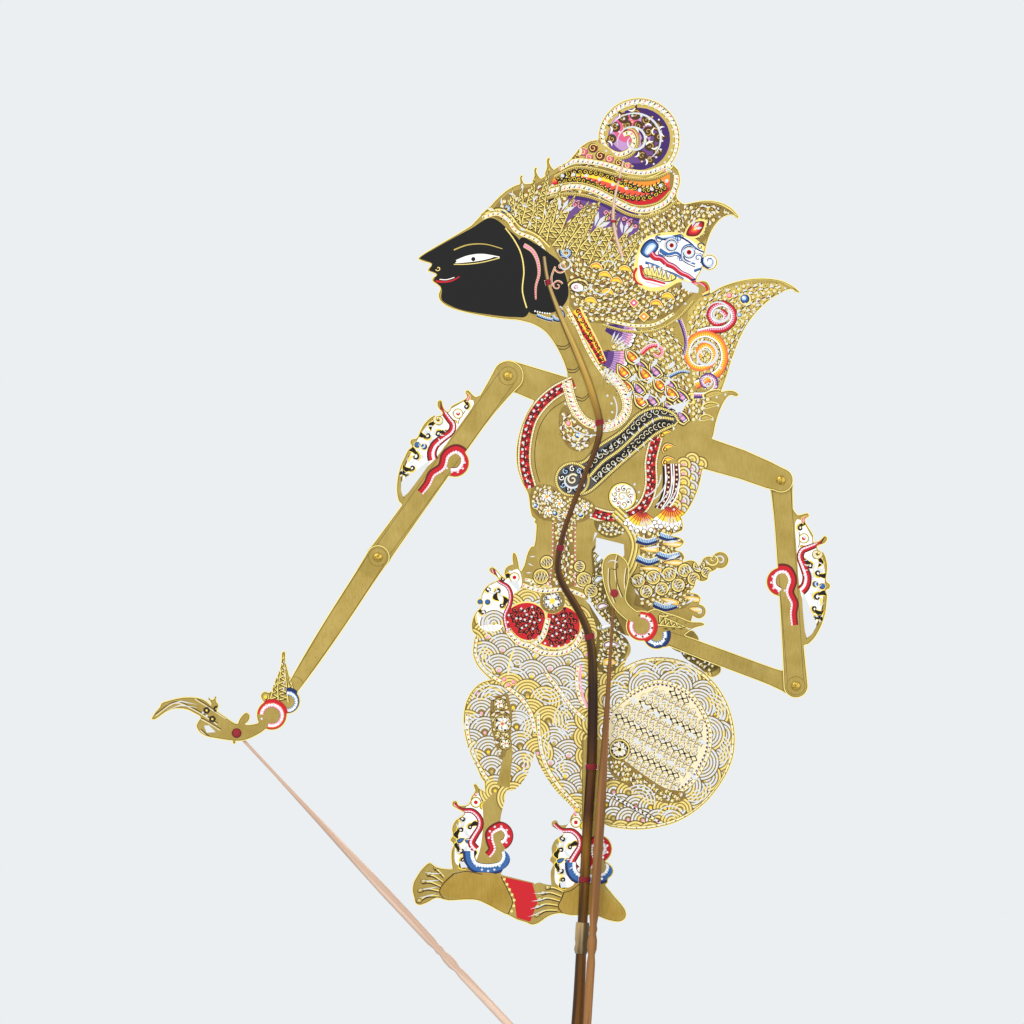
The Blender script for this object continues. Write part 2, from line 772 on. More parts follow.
@dataclass(frozen=True)
class HideFinish:
    """Surface of gilded and painted hide."""

    gilt_metal: float = 0.55
    paint_rough: float = 0.62
    gilt_rough: float = 0.42
    mottle: float = 0.23
    grain: float = 0.06
    cloud_scale: float = 60.0
    brush_scale: tuple[float, float, float] = (900.0, 200.0, 160.0)
    grain_scale: float = 1400.0
    shade: tuple[float, float, float, float] = (0.16, 0.1, 0.02, 1.0)
    shine: tuple[float, float, float, float] = (0.95, 0.8, 0.4, 1.0)
    relief: float = 0.0004
    specular: float = 0.22


@dataclass(frozen=True)
class HornFinish:
    """Surface of polished horn: shades along its length, each with its share of the way, and darker streaks."""

    shades: tuple[tuple[float, str], ...]
    dark: str
    streak: float
    long: float
    rough: float = 0.4
    coat: float = 0.05
    fine_scale: tuple[float, float, float] = (13.0, 2.0, 1.0)
    vein_scale: tuple[float, float, float] = (4.4, 0.6, 1.0)
    specular: float = 0.2
    relief: float = 0.0003


DARK_HORN = HornFinish(
    (
        (0.0, "#b3976a"), (0.1, "#c6a556"), (0.2, "#b38d3c"), (0.27, "#643e19"), (0.5, "#684019"), (0.55, "#735018"),
        (0.64, "#34200e"), (0.7, "#3c2009"), (0.76, "#5a330c"), (0.81, "#4a260a"), (0.86, "#855a10"),
        (1.0, "#6c4310"),
    ),
    dark="#1c0d06",
    streak=0.75,
    long=0.5,
)
BROWN_HORN = HornFinish(
    ((0.0, "#9a6a3a"), (0.4, "#8f5c2c"), (0.75, "#946026"), (1.0, "#8a5622")), dark="#3a1c0a", streak=0.5, long=0.4
)
PALE_HORN = HornFinish(
    ((0.0, "#ddc0aa"), (0.5, "#d3ac8e"), (1.0, "#caa084")), dark="#94694f", streak=0.4, long=0.4
)


@dataclass(frozen=True)
class BrassFinish:
    """Surface of hammered brass."""

    pale: str = "#d9bb58"
    dark: str = "#8f6f26"
    rough: float = 0.3
    metal: float = 0.85
    spot_scale: float = 900.0
    relief: float = 0.0003


@dataclass(frozen=True)
class ThreadFinish:
    """Surface of dyed thread."""

    pale: str = "#b02632"
    dark: str = "#5d1016"
    rough: float = 0.85
    twist_scale: float = 900.0
    relief: float = 0.0002


@dataclass
class Sock:
    """Output socket of a shader node, with arithmetic that adds nodes."""

    graph: "Graph"
    out: bpy.types.NodeSocket

    def _math(self, kind: str, other: "Sock | float", flip: bool = False) -> "Sock":
        """Join two values by one math node."""
        pair = (other, self) if flip else (self, other)
        return self.graph.node("ShaderNodeMath", {"operation": kind}, {0: pair[0], 1: pair[1]})

    def __add__(self, other: "Sock | float") -> "Sock":
        """Sum."""
        return self._math("ADD", other)

    def __radd__(self, other: float) -> "Sock":
        """Sum with a number on the left."""
        return self._math("ADD", other, True)

    def __sub__(self, other: "Sock | float") -> "Sock":
        """Difference."""
        return self._math("SUBTRACT", other)

    def __rsub__(self, other: float) -> "Sock":
        """Difference with a number on the left."""
        return self._math("SUBTRACT", other, True)

    def __mul__(self, other: "Sock | float") -> "Sock":
        """Product."""
        return self._math("MULTIPLY", other)

    def __rmul__(self, other: float) -> "Sock":
        """Product with a number on the left."""
        return self._math("MULTIPLY", other, True)


class Graph:
    """Shader nodes of one material, or of the surroundings."""

    def __init__(self, name: str, world: bpy.types.World | None = None) -> None:
        """Start a material with one principled shader, or take up a world.

        Args:
            name: Name of the material.
            world: Surroundings, where it is not a material.
        """
        self.owner = world or bpy.data.materials.new(name)
        self.owner.use_nodes = True
        self.nodes = self.owner.node_tree.nodes
        self.links = self.owner.node_tree.links
        self.shader = self.nodes.get("Principled BSDF")

    def node(
        self, kind: str, settings: dict[str, object] | None = None, inputs: dict[str | int, object] | None = None,
        out: str | int = 0
    ) -> Sock:
        """Add a node with its settings and inputs.

        Args:
            kind: Type of node.
            settings: Values of the node itself.
            inputs: Values or sockets for its inputs.
            out: Output to hand on.

        Returns:
            Socket of the chosen output.
        """
        made = self.nodes.new(kind)
        for key, value in (settings or {}).items():
            setattr(made, key, value)
        for key, value in (inputs or {}).items():
            if isinstance(value, Sock):
                self.links.new(value.out, made.inputs[key])
            else:
                made.inputs[key].default_value = value
        return Sock(self, made.outputs[out])

    def mix(self, share: "Sock | float", a: object, b: object) -> Sock:
        """Blend two colours."""
        return self.node("ShaderNodeMix", {"data_type": "RGBA"}, {0: share, 6: a, 7: b}, 2)

    def noise(self, where: Sock, scale: float, detail: float = 3.0) -> Sock:
        """Soft noise from 0 to 1."""
        return self.node("ShaderNodeTexNoise", {}, {"Vector": where, "Scale": scale, "Detail": detail})

    def ramp(self, value: Sock, lo: float, hi: float) -> Sock:
        """Stretch a range of a value to 0 and 1."""
        return self.node("ShaderNodeMapRange", {}, {"Value": value, "From Min": lo, "From Max": hi})

    def stretched(self, where: Sock, scale: tuple[float, float, float]) -> Sock:
        """Scale a coordinate by axis."""
        return self.node("ShaderNodeMapping", {}, {"Vector": where, "Scale": scale})

    def feed(self, **sockets: object) -> bpy.types.Material:
        """Join values to the shader's inputs; an underscore stands for a space.

        Args:
            **sockets: Values or sockets by the name of the input.

        Returns:
            The material.
        """
        for key, value in sockets.items():
            socket = self.shader.inputs[key.replace("_", " ")]
            if isinstance(value, Sock):
                self.links.new(value.out, socket)
            else:
                socket.default_value = value
        return self.owner

    def bump(self, height: Sock, strength: float, distance: float) -> Sock:
        """Surface relief from a height."""
        return self.node("ShaderNodeBump", {}, {"Height": height, "Strength": strength, "Distance": distance})


class Finishes:
    """Materials of the puppet."""

    def __init__(self) -> None:
        """Make every material once."""
        self.hide = self.make_hide(HideFinish())
        self.dark_horn = self.make_horn("dark horn", DARK_HORN)
        self.brown_horn = self.make_horn("brown horn", BROWN_HORN)
        self.pale_horn = self.make_horn("pale horn", PALE_HORN)
        self.brass = self.make_brass(BrassFinish())
        self.thread = self.make_thread(ThreadFinish())

    def make_hide(self, f: HideFinish) -> bpy.types.Material:
        """Gilded and painted hide, which takes its colours from the sheet.

        Args:
            f: Shades and surface values.

        Returns:
            The material.
        """
        g = Graph("gilded hide")
        paint = g.node("ShaderNodeAttribute", {"attribute_name": "paint"})
        gilt = Sock(g, paint.out.node.outputs["Alpha"])
        where = g.node("ShaderNodeTexCoord", out="Object")
        cloud = g.ramp(g.noise(where, f.cloud_scale, 4.0), 0.3, 0.75)
        brush = g.ramp(g.noise(g.stretched(where, f.brush_scale), 1.0, 2.0), 0.25, 0.8)
        patches = cloud * 0.6 + brush * 0.4
        dark = g.mix(f.mottle * 1.5, paint, f.shade)
        light = g.mix(f.mottle * 0.6, paint, f.shine)
        tone = g.mix(patches, dark, light)
        colour = g.mix(g.ramp(gilt, 0.2, 0.7), paint, tone)
        grain = g.noise(where, f.grain_scale, 2.0)
        rough = f.paint_rough - (f.paint_rough - f.gilt_rough) * gilt + (grain - 0.5) * 0.1
        g.feed(Specular_IOR_Level=f.specular)
        return g.feed(
            Base_Color=colour,
            Metallic=gilt * f.gilt_metal,
            Roughness=rough + patches * gilt * 0.06,
            Normal=g.bump(grain + brush * gilt * 0.7, f.grain * 3, f.relief),
        )

    def make_horn(self, name: str, f: HornFinish) -> bpy.types.Material:
        """Polished horn with darker streaks along the rod.

        Args:
            name: Name of the material.
            f: Shades and surface values.

        Returns:
            The material.
        """
        g = Graph(name)
        run = g.node("ShaderNodeUVMap", {"uv_map": "run"})
        far = g.node("ShaderNodeSeparateXYZ", {}, {0: run}, 1) * (0.1 / f.long)
        ramp = g.node("ShaderNodeValToRGB", {}, {0: far})
        stops = ramp.out.node.color_ramp.elements
        stops[0].position, stops[0].color = f.shades[0][0], linear(f.shades[0][1])
        stops[1].position, stops[1].color = f.shades[-1][0], linear(f.shades[-1][1])
        for share, shade in f.shades[1:-1]:
            stops.new(share).color = linear(shade)
        fine = g.ramp(g.noise(g.stretched(run, f.fine_scale), 1.0, 4.0), 0.42, 0.74)
        vein = g.ramp(g.noise(g.stretched(run, f.vein_scale), 1.0, 2.0), 0.46, 0.56)
        deep = g.mix(vein * f.streak, ramp, linear(f.dark))
        colour = g.mix(fine * (f.streak * 0.5), deep, linear(f.dark))
        g.feed(Specular_IOR_Level=f.specular)
        return g.feed(
            Base_Color=colour, Roughness=f.rough + 0.12 * fine, Coat_Weight=f.coat, Normal=g.bump(fine, 0.1, f.relief)
        )

    def make_brass(self, f: BrassFinish) -> bpy.types.Material:
        """Brass with a worn dome.

        Args:
            f: Shades and surface values.

        Returns:
            The material.
        """
        g = Graph("rivet brass")
        where = g.node("ShaderNodeTexCoord", out="Object")
        spots = g.ramp(g.noise(where, f.spot_scale), 0.35, 0.7)
        return g.feed(
            Base_Color=g.mix(spots, linear(f.dark), linear(f.pale)), Metallic=f.metal,
            Roughness=f.rough + 0.2 * spots, Normal=g.bump(spots, 0.2, f.relief)
        )

    def make_thread(self, f: ThreadFinish) -> bpy.types.Material:
        """Twisted thread.

        Args:
            f: Shades and surface values.

        Returns:
            The material.
        """
        g = Graph("red thread")
        where = g.node("ShaderNodeTexCoord", out="Object")
        twist = g.node(
            "ShaderNodeTexWave", {"bands_direction": "DIAGONAL"},
            {"Vector": where, "Scale": f.twist_scale, "Distortion": 2.0}
        )
        return g.feed(
            Base_Color=g.mix(twist, linear(f.dark), linear(f.pale)), Roughness=f.rough,
            Normal=g.bump(twist, 0.4, f.relief)
        )


@dataclass(frozen=True)
class Layer:
    """Where a hide lies in depth, flat or stepped along its length, in millimetres."""

    front: float
    thick: float
    root: Pt = (0.0, 0.0)
    goal: Pt = (1.0, 0.0)
    start: float = 0.0
    end: float = 0.0
    far: float = 0.0
    span: float = 60.0

    def depth(self, p: Pt) -> float:
        """Depth of the front face at p.

        Args:
            p: Point of the hide.

        Returns:
            Depth in millimetres.
        """
        if self.end <= self.start:
            return self.front
        long = gap(self.root, self.goal)
        arm = (self.goal[0] - self.root[0], self.goal[1] - self.root[1])
        s = ((p[0] - self.root[0]) * arm[0] + (p[1] - self.root[1]) * arm[1]) / long
        t = min(1.0, max(0.0, (s - self.start) / (self.end - self.start)))
        return self.front + (self.far - self.front) * t

    def folds(self) -> list[tuple[Pt, Pt]]:
        """Lines across the hide where its depth starts and stops to change.

        Returns:
            Ends of each line.
        """
        if self.end <= self.start:
            return []
        heading = math.degrees(math.atan2(self.goal[1] - self.root[1], self.goal[0] - self.root[0]))
        mids = [polar(self.root, s, heading) for s in (self.start, self.end)]
        return [(polar(m, self.span, heading - 90), polar(m, self.span, heading + 90)) for m in mids]


def loops_of(obj: bpy.types.Object) -> list[Path]:
    """Rims of the front face of a CAD sheet, the outline first and then its openings, in millimetres.

    Args:
        obj: CAD sheet.

    Returns:
        Rings that run counter-clockwise, the largest first.
    """
    mesh = obj.data
    keys = [tuple(round(c / MM, 4) for c in v.co) for v in mesh.vertices]
    edges: set[tuple] = set()
    for face in mesh.polygons:
        if face.normal.y < -0.5:
            ids = [keys[i] for i in face.vertices]
            edges.update(zip(ids, [*ids[1:], ids[0]]))
    nxt: dict[tuple, list[tuple]] = {}
    for a, b in edges:
        if (b, a) not in edges:
            nxt.setdefault(a, []).append(b)
    loops = []
    while nxt:
        start = next(iter(nxt))
        ring, at = [], start
        while at in nxt:
            step = nxt[at].pop()
            if not nxt[at]:
                del nxt[at]
            ring.append((at[0], at[2]))
            at = step
            if at == start:
                break
        if len(ring) > 2 and abs(area(ring)) > SLIT:
            loops.append(ring)
    loops.sort(key=lambda r: -abs(area(r)))
    return [r if area(r) > 0 else r[::-1] for r in loops]


@dataclass
class HideSheet:
    """One hide, cut to its CAD outline and laid out in painted pieces."""

    node: str
    body: str
    layer: Layer
    canvas: Canvas
    bands: tuple[float, ...] = ()
    base: Paint = Paint.GOLD

    def facets(self, loops: list[Path]) -> tuple[list[Pt], list[Facet]]:
        """Cut the hide into triangles, each of one paint, and leave out what is pierced.

        Args:
            loops: Rims of the hide, the outline first.

        Returns:
            Points, and facets with their paints.
        """
        rings = loops + [r for _, r in self.canvas.motifs]
        verts: list[Vector] = []
        faces: list[list[int]] = []
        for ring in rings:
            faces.append(list(range(len(verts), len(verts) + len(ring))))
            verts += [Vector(p) for p in ring]
        edges = []
        for a, b in [*self.layer.folds(), *(((-SPAN, z), (SPAN, z)) for z in self.bands)]:
            edges.append((len(verts), len(verts) + 1))
            verts += [Vector(a), Vector(b)]
        pts, _, tris, _, _, owners = delaunay_2d_cdt(verts, edges, faces, 0, 1e-4, True)
        pts = [(p.x, p.y) for p in pts]
        sizes = [area([pts[i] for i in t]) for t in tris]
        covered = [0.0] * len(rings)
        for own, size in zip(owners, sizes):
            for k in own:
                covered[k] += size
        true = [abs(area(r)) * LEAK_SHARE + LEAK for r in rings]
        holes = len(loops)
        kept, cut = [], []
        for tri, own, size in zip(tris, owners, sizes):
            if 0 not in own or size < 1e-7:
                continue
            top = -1
            for k in own:
                if 0 < k < holes:
                    break
                if k >= holes and k > top and covered[k] <= true[k]:
                    top = k
            else:
                paint = self.base if top < 0 else self.canvas.motifs[top - holes][0]
                if paint is Paint.PIERCED:
                    cut.append(tuple(tri))
                else:
                    kept.append((tuple(tri), paint))
        return pts, self.joined(pts, kept, cut)

    @staticmethod
    def sides(tri: Tri) -> list[tuple[int, int]]:
        """Edges of a facet, each with its lower point first."""
        return [(min(e), max(e)) for e in zip(tri, (tri[1], tri[2], tri[0]))]

    def islands(self, tris: Sequence[Tri]) -> list[int]:
        """Number of the island that each facet belongs to.

        Args:
            tris: Facets by their points.

        Returns:
            A number for each facet.
        """
        root = list(range(len(tris)))

        def find(i: int) -> int:
            """Representative of a facet's island.

            Args:
                i: Number of the facet.

            Returns:
                Number of the first facet of the island.
            """
            while root[i] != i:
                root[i] = root[root[i]]
                i = root[i]
            return i

        seen: dict[tuple[int, int], int] = {}
        for i, tri in enumerate(tris):
            for side in self.sides(tri):
                if side in seen:
                    root[find(i)] = find(seen[side])
                else:
                    seen[side] = i
        return [find(i) for i in range(len(tris))]

    def joined(self, pts: list[Pt], kept: list[Facet], cut: list[Tri]) -> list[Facet]:
        """Close the slots around patches that piercing has cut loose, and leave out loose crumbs.

        Args:
            pts: Points of the sheet.
            kept: Painted facets.
            cut: Facets that are pierced.

        Returns:
            Facets of one sheet.
        """
        group, sizes, best = self.largest(pts, kept)
        loose = {e for g, (t, _) in zip(group, kept) if g != best and sizes[g] > CRUMB for e in self.sides(t)}
        slots = self.islands(cut)
        shut = {g for g, t in zip(slots, cut) if any(e in loose for e in self.sides(t))}
        kept = kept + [(t, Paint.STRAW) for g, t in zip(slots, cut) if g in shut]
        group, _, best = self.largest(pts, kept)
        return [k for g, k in zip(group, kept) if g == best]

    def largest(self, pts: list[Pt], kept: list[Facet]) -> tuple[list[int], dict[int, float], int]:
        """Find the islands of painted facets and the largest of them.

        Args:
            pts: Points of the sheet.
            kept: Painted facets.

        Returns:
            Island of each facet, size of each island, and the largest.
        """
        group = self.islands([t for t, _ in kept])
        sizes: dict[int, float] = {}
        for g, (t, _) in zip(group, kept):
            sizes[g] = sizes.get(g, 0.0) + area([pts[k] for k in t])
        return group, sizes, max(sizes, key=lambda g: sizes[g])

    def build(self, material: bpy.types.Material) -> None:
        """Make the painted pieces.

        Args:
            material: Finish to dress it in.
        """
        loops = loops_of(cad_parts[self.node])
        pts, kept = self.facets(loops)
        cuts = [-math.inf, *self.bands, math.inf]
        for n, (lo, hi) in enumerate(zip(cuts, cuts[1:])):
            part = [(t, p) for t, p in kept if lo <= sum(pts[i][1] for i in t) / 3 < hi]
            if part:
                self.piece(f"{self.node}_{n}" if self.bands else self.node + "_sheet", pts, part, material)

    def piece(self, name: str, pts: list[Pt], part: list[Facet], material: bpy.types.Material) -> None:
        """Raise one group of facets to a sheet with a front, a back and edges.

        Args:
            name: Name of the piece.
            pts: Points of the sheet.
            part: Painted facets of this piece.
            material: Finish to dress it in.
        """
        inks = list(Paint)
        order = {ink: i + 1 for i, ink in enumerate(inks)}
        bm = bmesh.new()
        layer = bm.faces.layers.int.new("ink")
        made: dict[int, bmesh.types.BMVert] = {}
        for tri, paint in part:
            for i in tri:
                if i not in made:
                    made[i] = bm.verts.new((pts[i][0] * MM, self.layer.depth(pts[i]) * MM, pts[i][1] * MM))
            face = bm.faces.new([made[i] for i in tri])
            face[layer] = face.material_index = order[paint]
        bm.normal_update()
        bmesh.ops.dissolve_limit(bm, angle_limit=FLAT, verts=bm.verts[:], edges=bm.edges[:], delimit={"MATERIAL"})
        for face in bm.faces:
            face.material_index = 0
        front = bm.faces[:]
        grown = bmesh.ops.extrude_face_region(bm, geom=front, use_keep_orig=True)["geom"]
        bmesh.ops.translate(
            bm, verts=[v for v in grown if isinstance(v, bmesh.types.BMVert)], vec=(0, self.layer.thick * MM, 0)
        )
        keep = set(front)
        caps = {f for f in grown if isinstance(f, bmesh.types.BMFace)}
        others = [f for f in bm.faces if f not in keep]
        for f in others:
            if f not in caps or len(f.verts) == 4:
                f[layer] = 0
        bmesh.ops.reverse_faces(bm, faces=others)
        mesh = bpy.data.meshes.new(name)
        bm.to_mesh(mesh)
        bm.free()
        tones = [Paint.RAW.rgba, *(ink.rgba for ink in inks)]
        flat: list[float] = []
        marks = [0] * len(mesh.polygons)
        mesh.attributes["ink"].data.foreach_get("value", marks)
        for face, mark in zip(mesh.polygons, marks):
            flat.extend(tones[mark] * face.loop_total)
        colours = mesh.color_attributes.new("paint", "FLOAT_COLOR", "CORNER")
        colours.data.foreach_set("color", flat)
        mesh.attributes.remove(mesh.attributes["ink"])
        obj = bpy.data.objects.new(name, mesh)
        bpy.context.collection.objects.link(obj)
        mesh.materials.append(material)
        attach(obj, self.body)
        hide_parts(self.node)
        LOG.info("%s: %d facets, %d triangles", name, len(mesh.polygons), len(mesh.loops) - 2 * len(mesh.polygons))


def finish_mesh(
    name: str, bm: bmesh.types.BMesh, body: str, nodes: Sequence[str], material: bpy.types.Material
) -> bpy.types.Object:
    """Turn a bmesh into one smooth piece that rides on a body.

    Args:
        name: Name of the piece.
        bm: Mesh to turn into the piece.
        body: Body that it rides on.
        nodes: CAD nodes that it stands for.
        material: Finish to dress it in.

    Returns:
        The piece.
    """
    bmesh.ops.recalc_face_normals(bm, faces=bm.faces[:])
    for face in bm.faces:
        face.smooth = True
    for edge in bm.edges:
        if len(edge.link_faces) == 2 and edge.calc_face_angle(0.0) > CREASE:
            edge.smooth = False
    mesh = bpy.data.meshes.new(name)
    bm.to_mesh(mesh)
    bm.free()
    mesh.materials.append(material)
    obj = bpy.data.objects.new(name, mesh)
    bpy.context.collection.objects.link(obj)
    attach(obj, body)
    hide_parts(*nodes)
    LOG.info("%s: %d faces", name, len(mesh.polygons))
    return obj


@dataclass
class Sweep:
    """Round or flattened bar along a path, built from rings in millimetres."""

    path: list[Vector]
    radii: list[float]
    split: float = 0.0
    sides: int = 28
    start: float = 0.0

    def add(self, bm: bmesh.types.BMesh) -> None:
        """Add the bar; split pulls its front and back halves apart in depth.

        Args:
            bm: Mesh to add to.
        """
        uv = bm.loops.layers.uv.get("run") or bm.loops.layers.uv.new("run")
        rings = []
        far = self.start
        runs = []
        for i, (p, r) in enumerate(zip(self.path, self.radii)):
            way = (self.path[min(i + 1, len(self.path) - 1)] - self.path[max(i - 1, 0)]).normalized()
            side = way.cross(Vector((0, 1, 0))).normalized()
            over = side.cross(way).normalized()
            turn = Matrix((side, over, way)).transposed().to_4x4()
            ring = bmesh.ops.create_circle(
                bm, segments=self.sides, radius=r * MM, matrix=Matrix.Translation(p * MM) @ turn
            )["verts"]
            if self.split:
                for v in ring:
                    off = v.co.y - p.y * MM
                    v.co.y += math.copysign(self.split * MM, off) if abs(off) > WELD else 0.0
            far += (p - self.path[i - 1]).length if i else 0.0
            rings.append(ring)
            runs.append(far)
        place = {v: (k / self.sides, run * MM * RUN) for ring, run in zip(rings, runs) for k, v in enumerate(ring)}
        for a, b in zip(rings, rings[1:]):
            for k in range(self.sides):
                m = (k + 1) % self.sides
                face = bm.faces.new((a[k], a[m], b[m], b[k]))
                us = [place[l.vert][0] for l in face.loops]
                for l in face.loops:
                    u, v = place[l.vert]
                    l[uv].uv = (u + 1.0 if max(us) - min(us) > 0.5 and u < 0.5 else u, v)
        for ring in (rings[0], rings[-1]):
            bm.faces.new(ring)


def lathe(bm: bmesh.types.BMesh, profile: Sequence[Pt], turn: Matrix, sides: int = 36) -> None:
    """Spin a profile of radius and height about its axis and place it, in millimetres.

    Args:
        bm: Mesh to add to.
        profile: Radius and height of each point.
        turn: Place and direction of the axis.
        sides: Number of sides around.
    """
    uv = bm.loops.layers.uv.get("run") or bm.loops.layers.uv.new("run")
    verts = [bm.verts.new((r * MM, 0, h * MM)) for r, h in profile]
    edges = [bm.edges.new(pair) for pair in zip(verts, verts[1:])]
    bmesh.ops.spin(
        bm, geom=verts + edges, axis=(0, 0, 1), cent=(0, 0, 0), angle=2 * math.pi, steps=sides, use_merge=True
    )
    faces = {f for v in verts for f in v.link_faces}
    grow = True
    while grow:
        more = {g for f in faces for e in f.edges for g in e.link_faces} - faces
        grow = bool(more)
        faces |= more
    all_verts = {v for f in faces for v in f.verts}
    for face in faces:
        for l in face.loops:
            l[uv].uv = (math.atan2(l.vert.co.y, l.vert.co.x) / (2 * math.pi) + 0.5, l.vert.co.z * RUN)
    bmesh.ops.remove_doubles(bm, verts=list(all_verts), dist=WELD)
    live = {v for f in faces if f.is_valid for v in f.verts}
    bmesh.ops.transform(bm, matrix=turn, verts=list(live))


@dataclass
class HeadPainter:
    """Paints the headdress, the face and the back ornament."""

    c: Canvas

    def paint(self) -> None:
        """Lay on all the motifs of the head."""
        self.ground()
        self.topknot()
        self.crest()
        self.ribbon()
        self.fields()
        self.spires()
        self.back_leaf()
        self.beast()
        self.jaws()
        self.flame()
        self.wing()
        self.feathers()
        self.earpiece()
        self.hair()
        self.face()

    def ground(self) -> None:
        """Gold lace under everything."""
        c = self.c
        crown = [
            (-58, 667), (-50, 677), (-43, 683), (-28, 687), (-10, 697), (2, 706), (8, 713), (17, 717), (30, 713),
            (50, 704), (70, 700), (74, 690), (72, 680), (90, 667), (92, 652), (90, 640), (88, 622), (86, 612),
            (70, 596), (40, 590), (10, 592), (-1, 604), (-1, 622), (-14, 647), (-34, 658)
        ]
        band = [
            (-16, 691), (2, 702), (16, 701), (44, 697), (68, 703), (75, 690), (66, 673), (50, 669), (16, 684),
            (2, 688), (-14, 683)
        ]
        beast = [(48, 648), (66, 653), (92, 648), (100, 634), (90, 618), (66, 616), (46, 622)]
        c.lace(crown, 4.0, avoid=[band, beast], focus=(20, 640))
        wing = [
            (90, 609), (103, 615.6), (126, 620.4), (147, 619), (152, 615), (134, 601.4), (123.6, 588), (114.6, 569),
            (107.6, 550), (101, 542.6), (84, 546), (80, 575), (82, 600)
        ]
        c.lace(wing, 3.9, (P.YELLOW, P.BLACK, P.CREAM, P.ROSE), focus=(150, 560), ground=P.LIGHT)
        lower = [
            (16, 560), (30, 585), (70, 592), (82, 575), (86, 548), (99, 542), (98, 533), (95, 524), (86, 519),
            (72, 530), (60, 531), (34, 538)
        ]
        c.lace(lower, 4.0, focus=(20, 530), ground=P.GOLD)

    def topknot(self) -> None:
        """Round hair bun with a pearl band that curls inwards."""
        c, o = self.c, (47.6, 720.4)
        c.discs(o, (P.BRIGHT, 28.4), (P.UMBER, 27.6), (P.LIGHT, 27.2), (P.VIOLET, 21.8))
        c.fill(P.MAUVE, arc((o[0] - 6, o[1] + 5), 14.6, 0, 360))
        c.fill(P.ROSE, arc((o[0] - 8, o[1] + 7), 9.6, 0, 360))
        c.fill(P.PURPLE, arc(o, 21.6, -100, 118) + arc((o[0] - 2.2, o[1] + 0.4), 17.6, 118, -100))
        heart = (41.5, 719)
        c.line(P.PURPLE, arc(heart, 9.4, -120, 110), 3.4, 1.2)
        spots = [
            (45, 737.7, 3.4), (36.6, 735, 3.0), (31, 728.6, 2.8), (28.6, 720.4, 2.5), (53, 733.4, 3.0),
            (60, 729.6, 2.9), (54, 725.4, 3.0), (61.6, 721.4, 2.8), (55, 715.6, 3.0), (60.6, 711.4, 2.7),
            (49.6, 708.6, 2.6), (55.4, 705.8, 2.4), (47, 729.6, 2.6), (39.6, 730.4, 2.2), (51.6, 718.6, 2.0)
        ]
        for i, (x, z, r) in enumerate(spots):
            c.disc(P.UMBER, (x, z), r + 0.8)
            c.drop(P.UMBER, polar((x, z), r, 40 * i + 20), polar((x, z), r + 4.2, 40 * i + 80), 2.6, 0.3)
            c.line(P.WINE, coil((x, z), r + 0.1, 0.6, 40 * i, 40 * i + 400), 1.0, 0.6)
            c.line(P.LIGHT, coil((x, z), r * 0.9, 0.4, 40 * i, 40 * i + 420), 0.6, 0.45)
            c.drop(P.WHITE, polar((x, z), r + 0.7, 40 * i + 90), polar((x, z), r + 3.0, 40 * i + 150), 1.2, 0.25)
            c.disc((P.PINK, P.YELLOW, P.WHITE)[i % 3], polar((x, z), r + 1.5, 40 * i + 230), 0.6)
        way = [
            (65, 697.6), (72, 706), (75, 716), (74, 727.4), (68, 737.4), (58.4, 744.2), (47, 746.6), (36.2, 743.6),
            (27, 737), (21.8, 728.2), (22, 719), (26.2, 712.4), (34, 709.4), (41, 712.4), (44.2, 719), (41.4, 724.4),
            (36.6, 723.2)
        ]
        c.pearls(way, 4.4, 2.2)
        c.cord([(19.6, 721), (24, 710.8), (33, 706.4), (43, 709.6), (47.2, 719), (44.2, 727), (36.4, 728.4)], 1.5)

    def crest(self) -> None:
        """Row of red curls below the bun."""
        c = self.c
        c.shape(P.LIGHT, [
            (-6, 701), (2, 708), (8, 714.6), (17, 718), (26, 714), (34, 706), (44, 701), (30, 700), (12, 703)
        ])
        for i, (x, z, r) in enumerate((
            (2.5, 707, 2.6), (8.4, 711.6, 3.0), (15.4, 714, 3.0), (12.6, 707.6, 2.6), (20.4, 708.6, 3.0),
            (27, 706.4, 2.6), (33.4, 703.6, 2.4), (39.5, 701.6, 2.2)
        )):
            c.disc(P.UMBER, (x, z), r + 0.4)
            c.disc((P.WINE, P.ROSE)[i % 2], (x, z), r)
            c.line(P.BRIGHT, coil((x, z), r, 0.5, 30, 480), 0.6, 0.45)
        c.dots((P.CREAM, P.ROSE), spline([(-4, 703.6), (2, 709.6), (8, 715.6), (17, 719), (24, 717)]), 1.7, 0.55)
        c.pearls([
            (-8.5, 699.5), (1.6, 704.4), (11.3, 704.6), (25.4, 702), (39.4, 697.8), (53.5, 696.8), (68, 702)
        ], 2.9)

